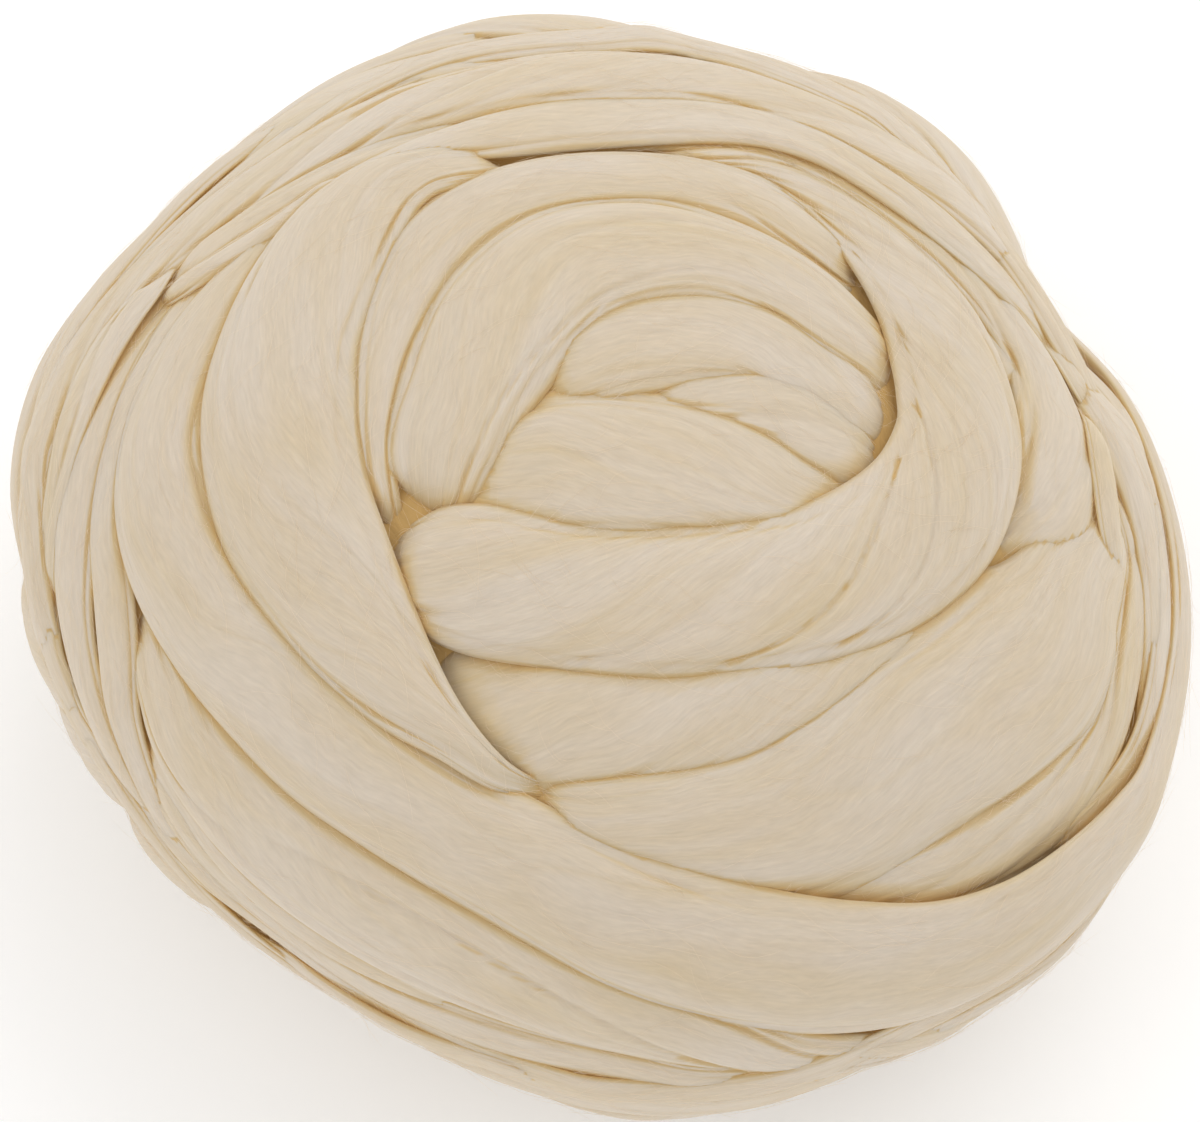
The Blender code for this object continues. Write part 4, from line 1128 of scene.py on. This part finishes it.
class ROVING_OT_turns(bpy.types.Operator):
    """Winds the turns of the ball's face"""

    bl_idname = "roving.turns"
    bl_label = "Turns of the face"

    def execute(self, context):
        for seed, turn in enumerate(TURNS):
            wind("turn_" + turn.name, turn_stations(turn), False, seed + 1,
                 context.scene.roving_shape)
        return {"FINISHED"}


class ROVING_OT_fine_turns(bpy.types.Operator):
    """Winds the fine turns that lie between the main turns"""

    bl_idname = "roving.fine_turns"
    bl_label = "Fine turns"

    def execute(self, context):
        for seed, turn in enumerate(FINE_TURNS):
            wind("turn_" + turn.name, turn_stations(turn), False, FINE_SEED + seed,
                 context.scene.roving_shape)
        return {"FINISHED"}


class ROVING_OT_wraps(bpy.types.Operator):
    """Winds the plain wraps behind the face"""

    bl_idname = "roving.wraps"
    bl_label = "Wraps behind"

    def execute(self, context):
        seed = len(TURNS)
        for wrap in WRAPS:
            for index in range(wrap.count):
                seed += 1
                wind(f"wrap_{wrap.name}_{index + 1}", wrap_stations(wrap, index), True, seed,
                     context.scene.roving_shape)
        return {"FINISHED"}


class ROVING_OT_wool(bpy.types.Operator):
    """Finds the creases and gives every turn its wool"""

    bl_idname = "roving.wool"
    bl_label = "Wool"

    def execute(self, context):
        pieces = wool_pieces()
        packed = pieces + [bpy.data.objects[CORE_NAME]]
        mark_creases(packed, all_wool(packed))
        material = combed_wool(context.scene.roving_wool)
        for piece in pieces:
            piece.data.materials.append(material)
        return {"FINISHED"}


class ROVING_OT_fibres(bpy.types.Operator):
    """Lays loose fibres over the turns and across their creases"""

    bl_idname = "roving.fibres"
    bl_label = "Loose fibres"

    def execute(self, context):
        material = loose_fibre(context.scene.roving_wool)
        for seed, group in enumerate(FIBRES):
            roots, normals, tangents = fibre_roots(group, seed + ROOT_SEED)
            mesh = fibre_mesh(group, roots, normals, tangents, seed + FIBRE_SEED)
            piece = finished(mesh, group.name)
            piece.data.materials.append(material)
        return {"FINISHED"}


# The lamps: where each stands round from the front and above the horizon, in degrees, its
# size in metres, and the studio's setting for its power.
Lamp = namedtuple("Lamp", "name azimuth elevation size power")

LAMPS = (
    Lamp("key_light", 140.0, 52.0, 1.4, "key_power"),
    Lamp("fill_light", -80.0, 45.0, 1.2, "fill_power"),
)
LAMP_DISTANCE = 1.6              # metres from the ball's middle
FLOOR_HALF = 3.0                 # half size of the floor, in metres
SENSOR_WIDTH = 36.0              # millimetres, for the camera
AIM = Vector((0.5, 0.0, 0.0))    # millimetres from the ball's middle at which it looks


def place_looking(thing, target, azimuth, elevation, distance):
    """Puts a light or camera at a distance from a target, looking at it."""
    a = math.radians(azimuth)
    e = math.radians(elevation)
    away = Vector((math.sin(a) * math.cos(e), -math.cos(a) * math.cos(e), math.sin(e)))
    thing.rotation_mode = "QUATERNION"
    thing.rotation_quaternion = away.to_track_quat("Z", "Y")
    thing.location = target + away * distance
    bpy.context.scene.collection.objects.link(thing)


class ROVING_OT_stage(bpy.types.Operator):
    """Sets the floor, the lights and the camera"""

    bl_idname = "roving.stage"
    bl_label = "Studio"

    def execute(self, context):
        studio = context.scene.roving_studio
        scene = context.scene
        bm = bmesh.new()
        bmesh.ops.create_grid(bm, x_segments=1, y_segments=1, size=FLOOR_HALF)
        floor = bpy.data.objects.new("floor", new_mesh(bm, "floor"))
        scene.collection.objects.link(floor)
        floor.data.materials.append(Finish("pale_floor").set(
            Base_Color=(0.98, 0.98, 0.98, 1.0), Roughness=0.9, Specular_IOR_Level=0.1,
            Emission_Color=(1.0, 1.0, 1.0, 1.0), Emission_Strength=0.04))

        world = bpy.data.worlds.new("studio_sky")
        world.use_nodes = True
        sky = world.node_tree.nodes["Background"]
        sky.inputs["Color"].default_value = (1.0, 1.0, 1.0, 1.0)
        sky.inputs["Strength"].default_value = studio.sky
        scene.world = world

        middle = FORM_CENTRE * MM
        for lamp in LAMPS:
            light = bpy.data.lights.new(lamp.name, "AREA")
            light.size = lamp.size
            light.energy = getattr(studio, lamp.power)
            place_looking(bpy.data.objects.new(lamp.name, light), middle, lamp.azimuth,
                          lamp.elevation, LAMP_DISTANCE)

        camera = bpy.data.cameras.new("camera")
        camera.sensor_width = SENSOR_WIDTH
        camera.sensor_fit = "HORIZONTAL"
        camera.lens = camera.sensor_width * studio.view_distance / studio.view_width
        shown = bpy.data.objects.new("camera", camera)
        place_looking(shown, middle + AIM * MM, 0.0, math.degrees(studio.view_elevation),
                      studio.view_distance)
        scene.camera = shown
        scene.view_settings.view_transform = "Standard"
        return {"FINISHED"}


class ROVING_PT_panel(bpy.types.Panel):
    """The ball's sizes, colours and steps"""

    bl_idname = "ROVING_PT_panel"
    bl_label = "Wool roving ball"
    bl_space_type = "VIEW_3D"
    bl_region_type = "UI"
    bl_category = "Roving"

    def draw(self, context):
        for group in ("roving_shape", "roving_wool", "roving_studio"):
            settings = getattr(context.scene, group)
            box = self.layout.box()
            for key in settings.__annotations__:
                box.prop(settings, key)
        for operator in OPERATORS:
            self.layout.operator(operator.bl_idname)


GROUPS = {"roving_shape": RovingShape, "roving_wool": RovingWool,
          "roving_studio": RovingStudio}
OPERATORS = (ROVING_OT_core, ROVING_OT_turns, ROVING_OT_fine_turns, ROVING_OT_wraps, ROVING_OT_wool,
             ROVING_OT_fibres, ROVING_OT_stage)


def register():
    for cls in (*GROUPS.values(), *OPERATORS, ROVING_PT_panel):
        bpy.utils.register_class(cls)
    for key, group in GROUPS.items():
        setattr(bpy.types.Scene, key, PointerProperty(type=group))


def unregister():
    for key in GROUPS:
        delattr(bpy.types.Scene, key)
    for cls in (ROVING_PT_panel, *reversed(OPERATORS), *reversed(list(GROUPS.values()))):
        bpy.utils.unregister_class(cls)


def main():
    register()
    bpy.ops.roving.core()
    bpy.ops.roving.turns()
    bpy.ops.roving.fine_turns()
    bpy.ops.roving.wraps()
    bpy.ops.roving.wool()
    bpy.ops.roving.fibres()
    bpy.ops.roving.stage()


if __name__ == "__main__":
    main()
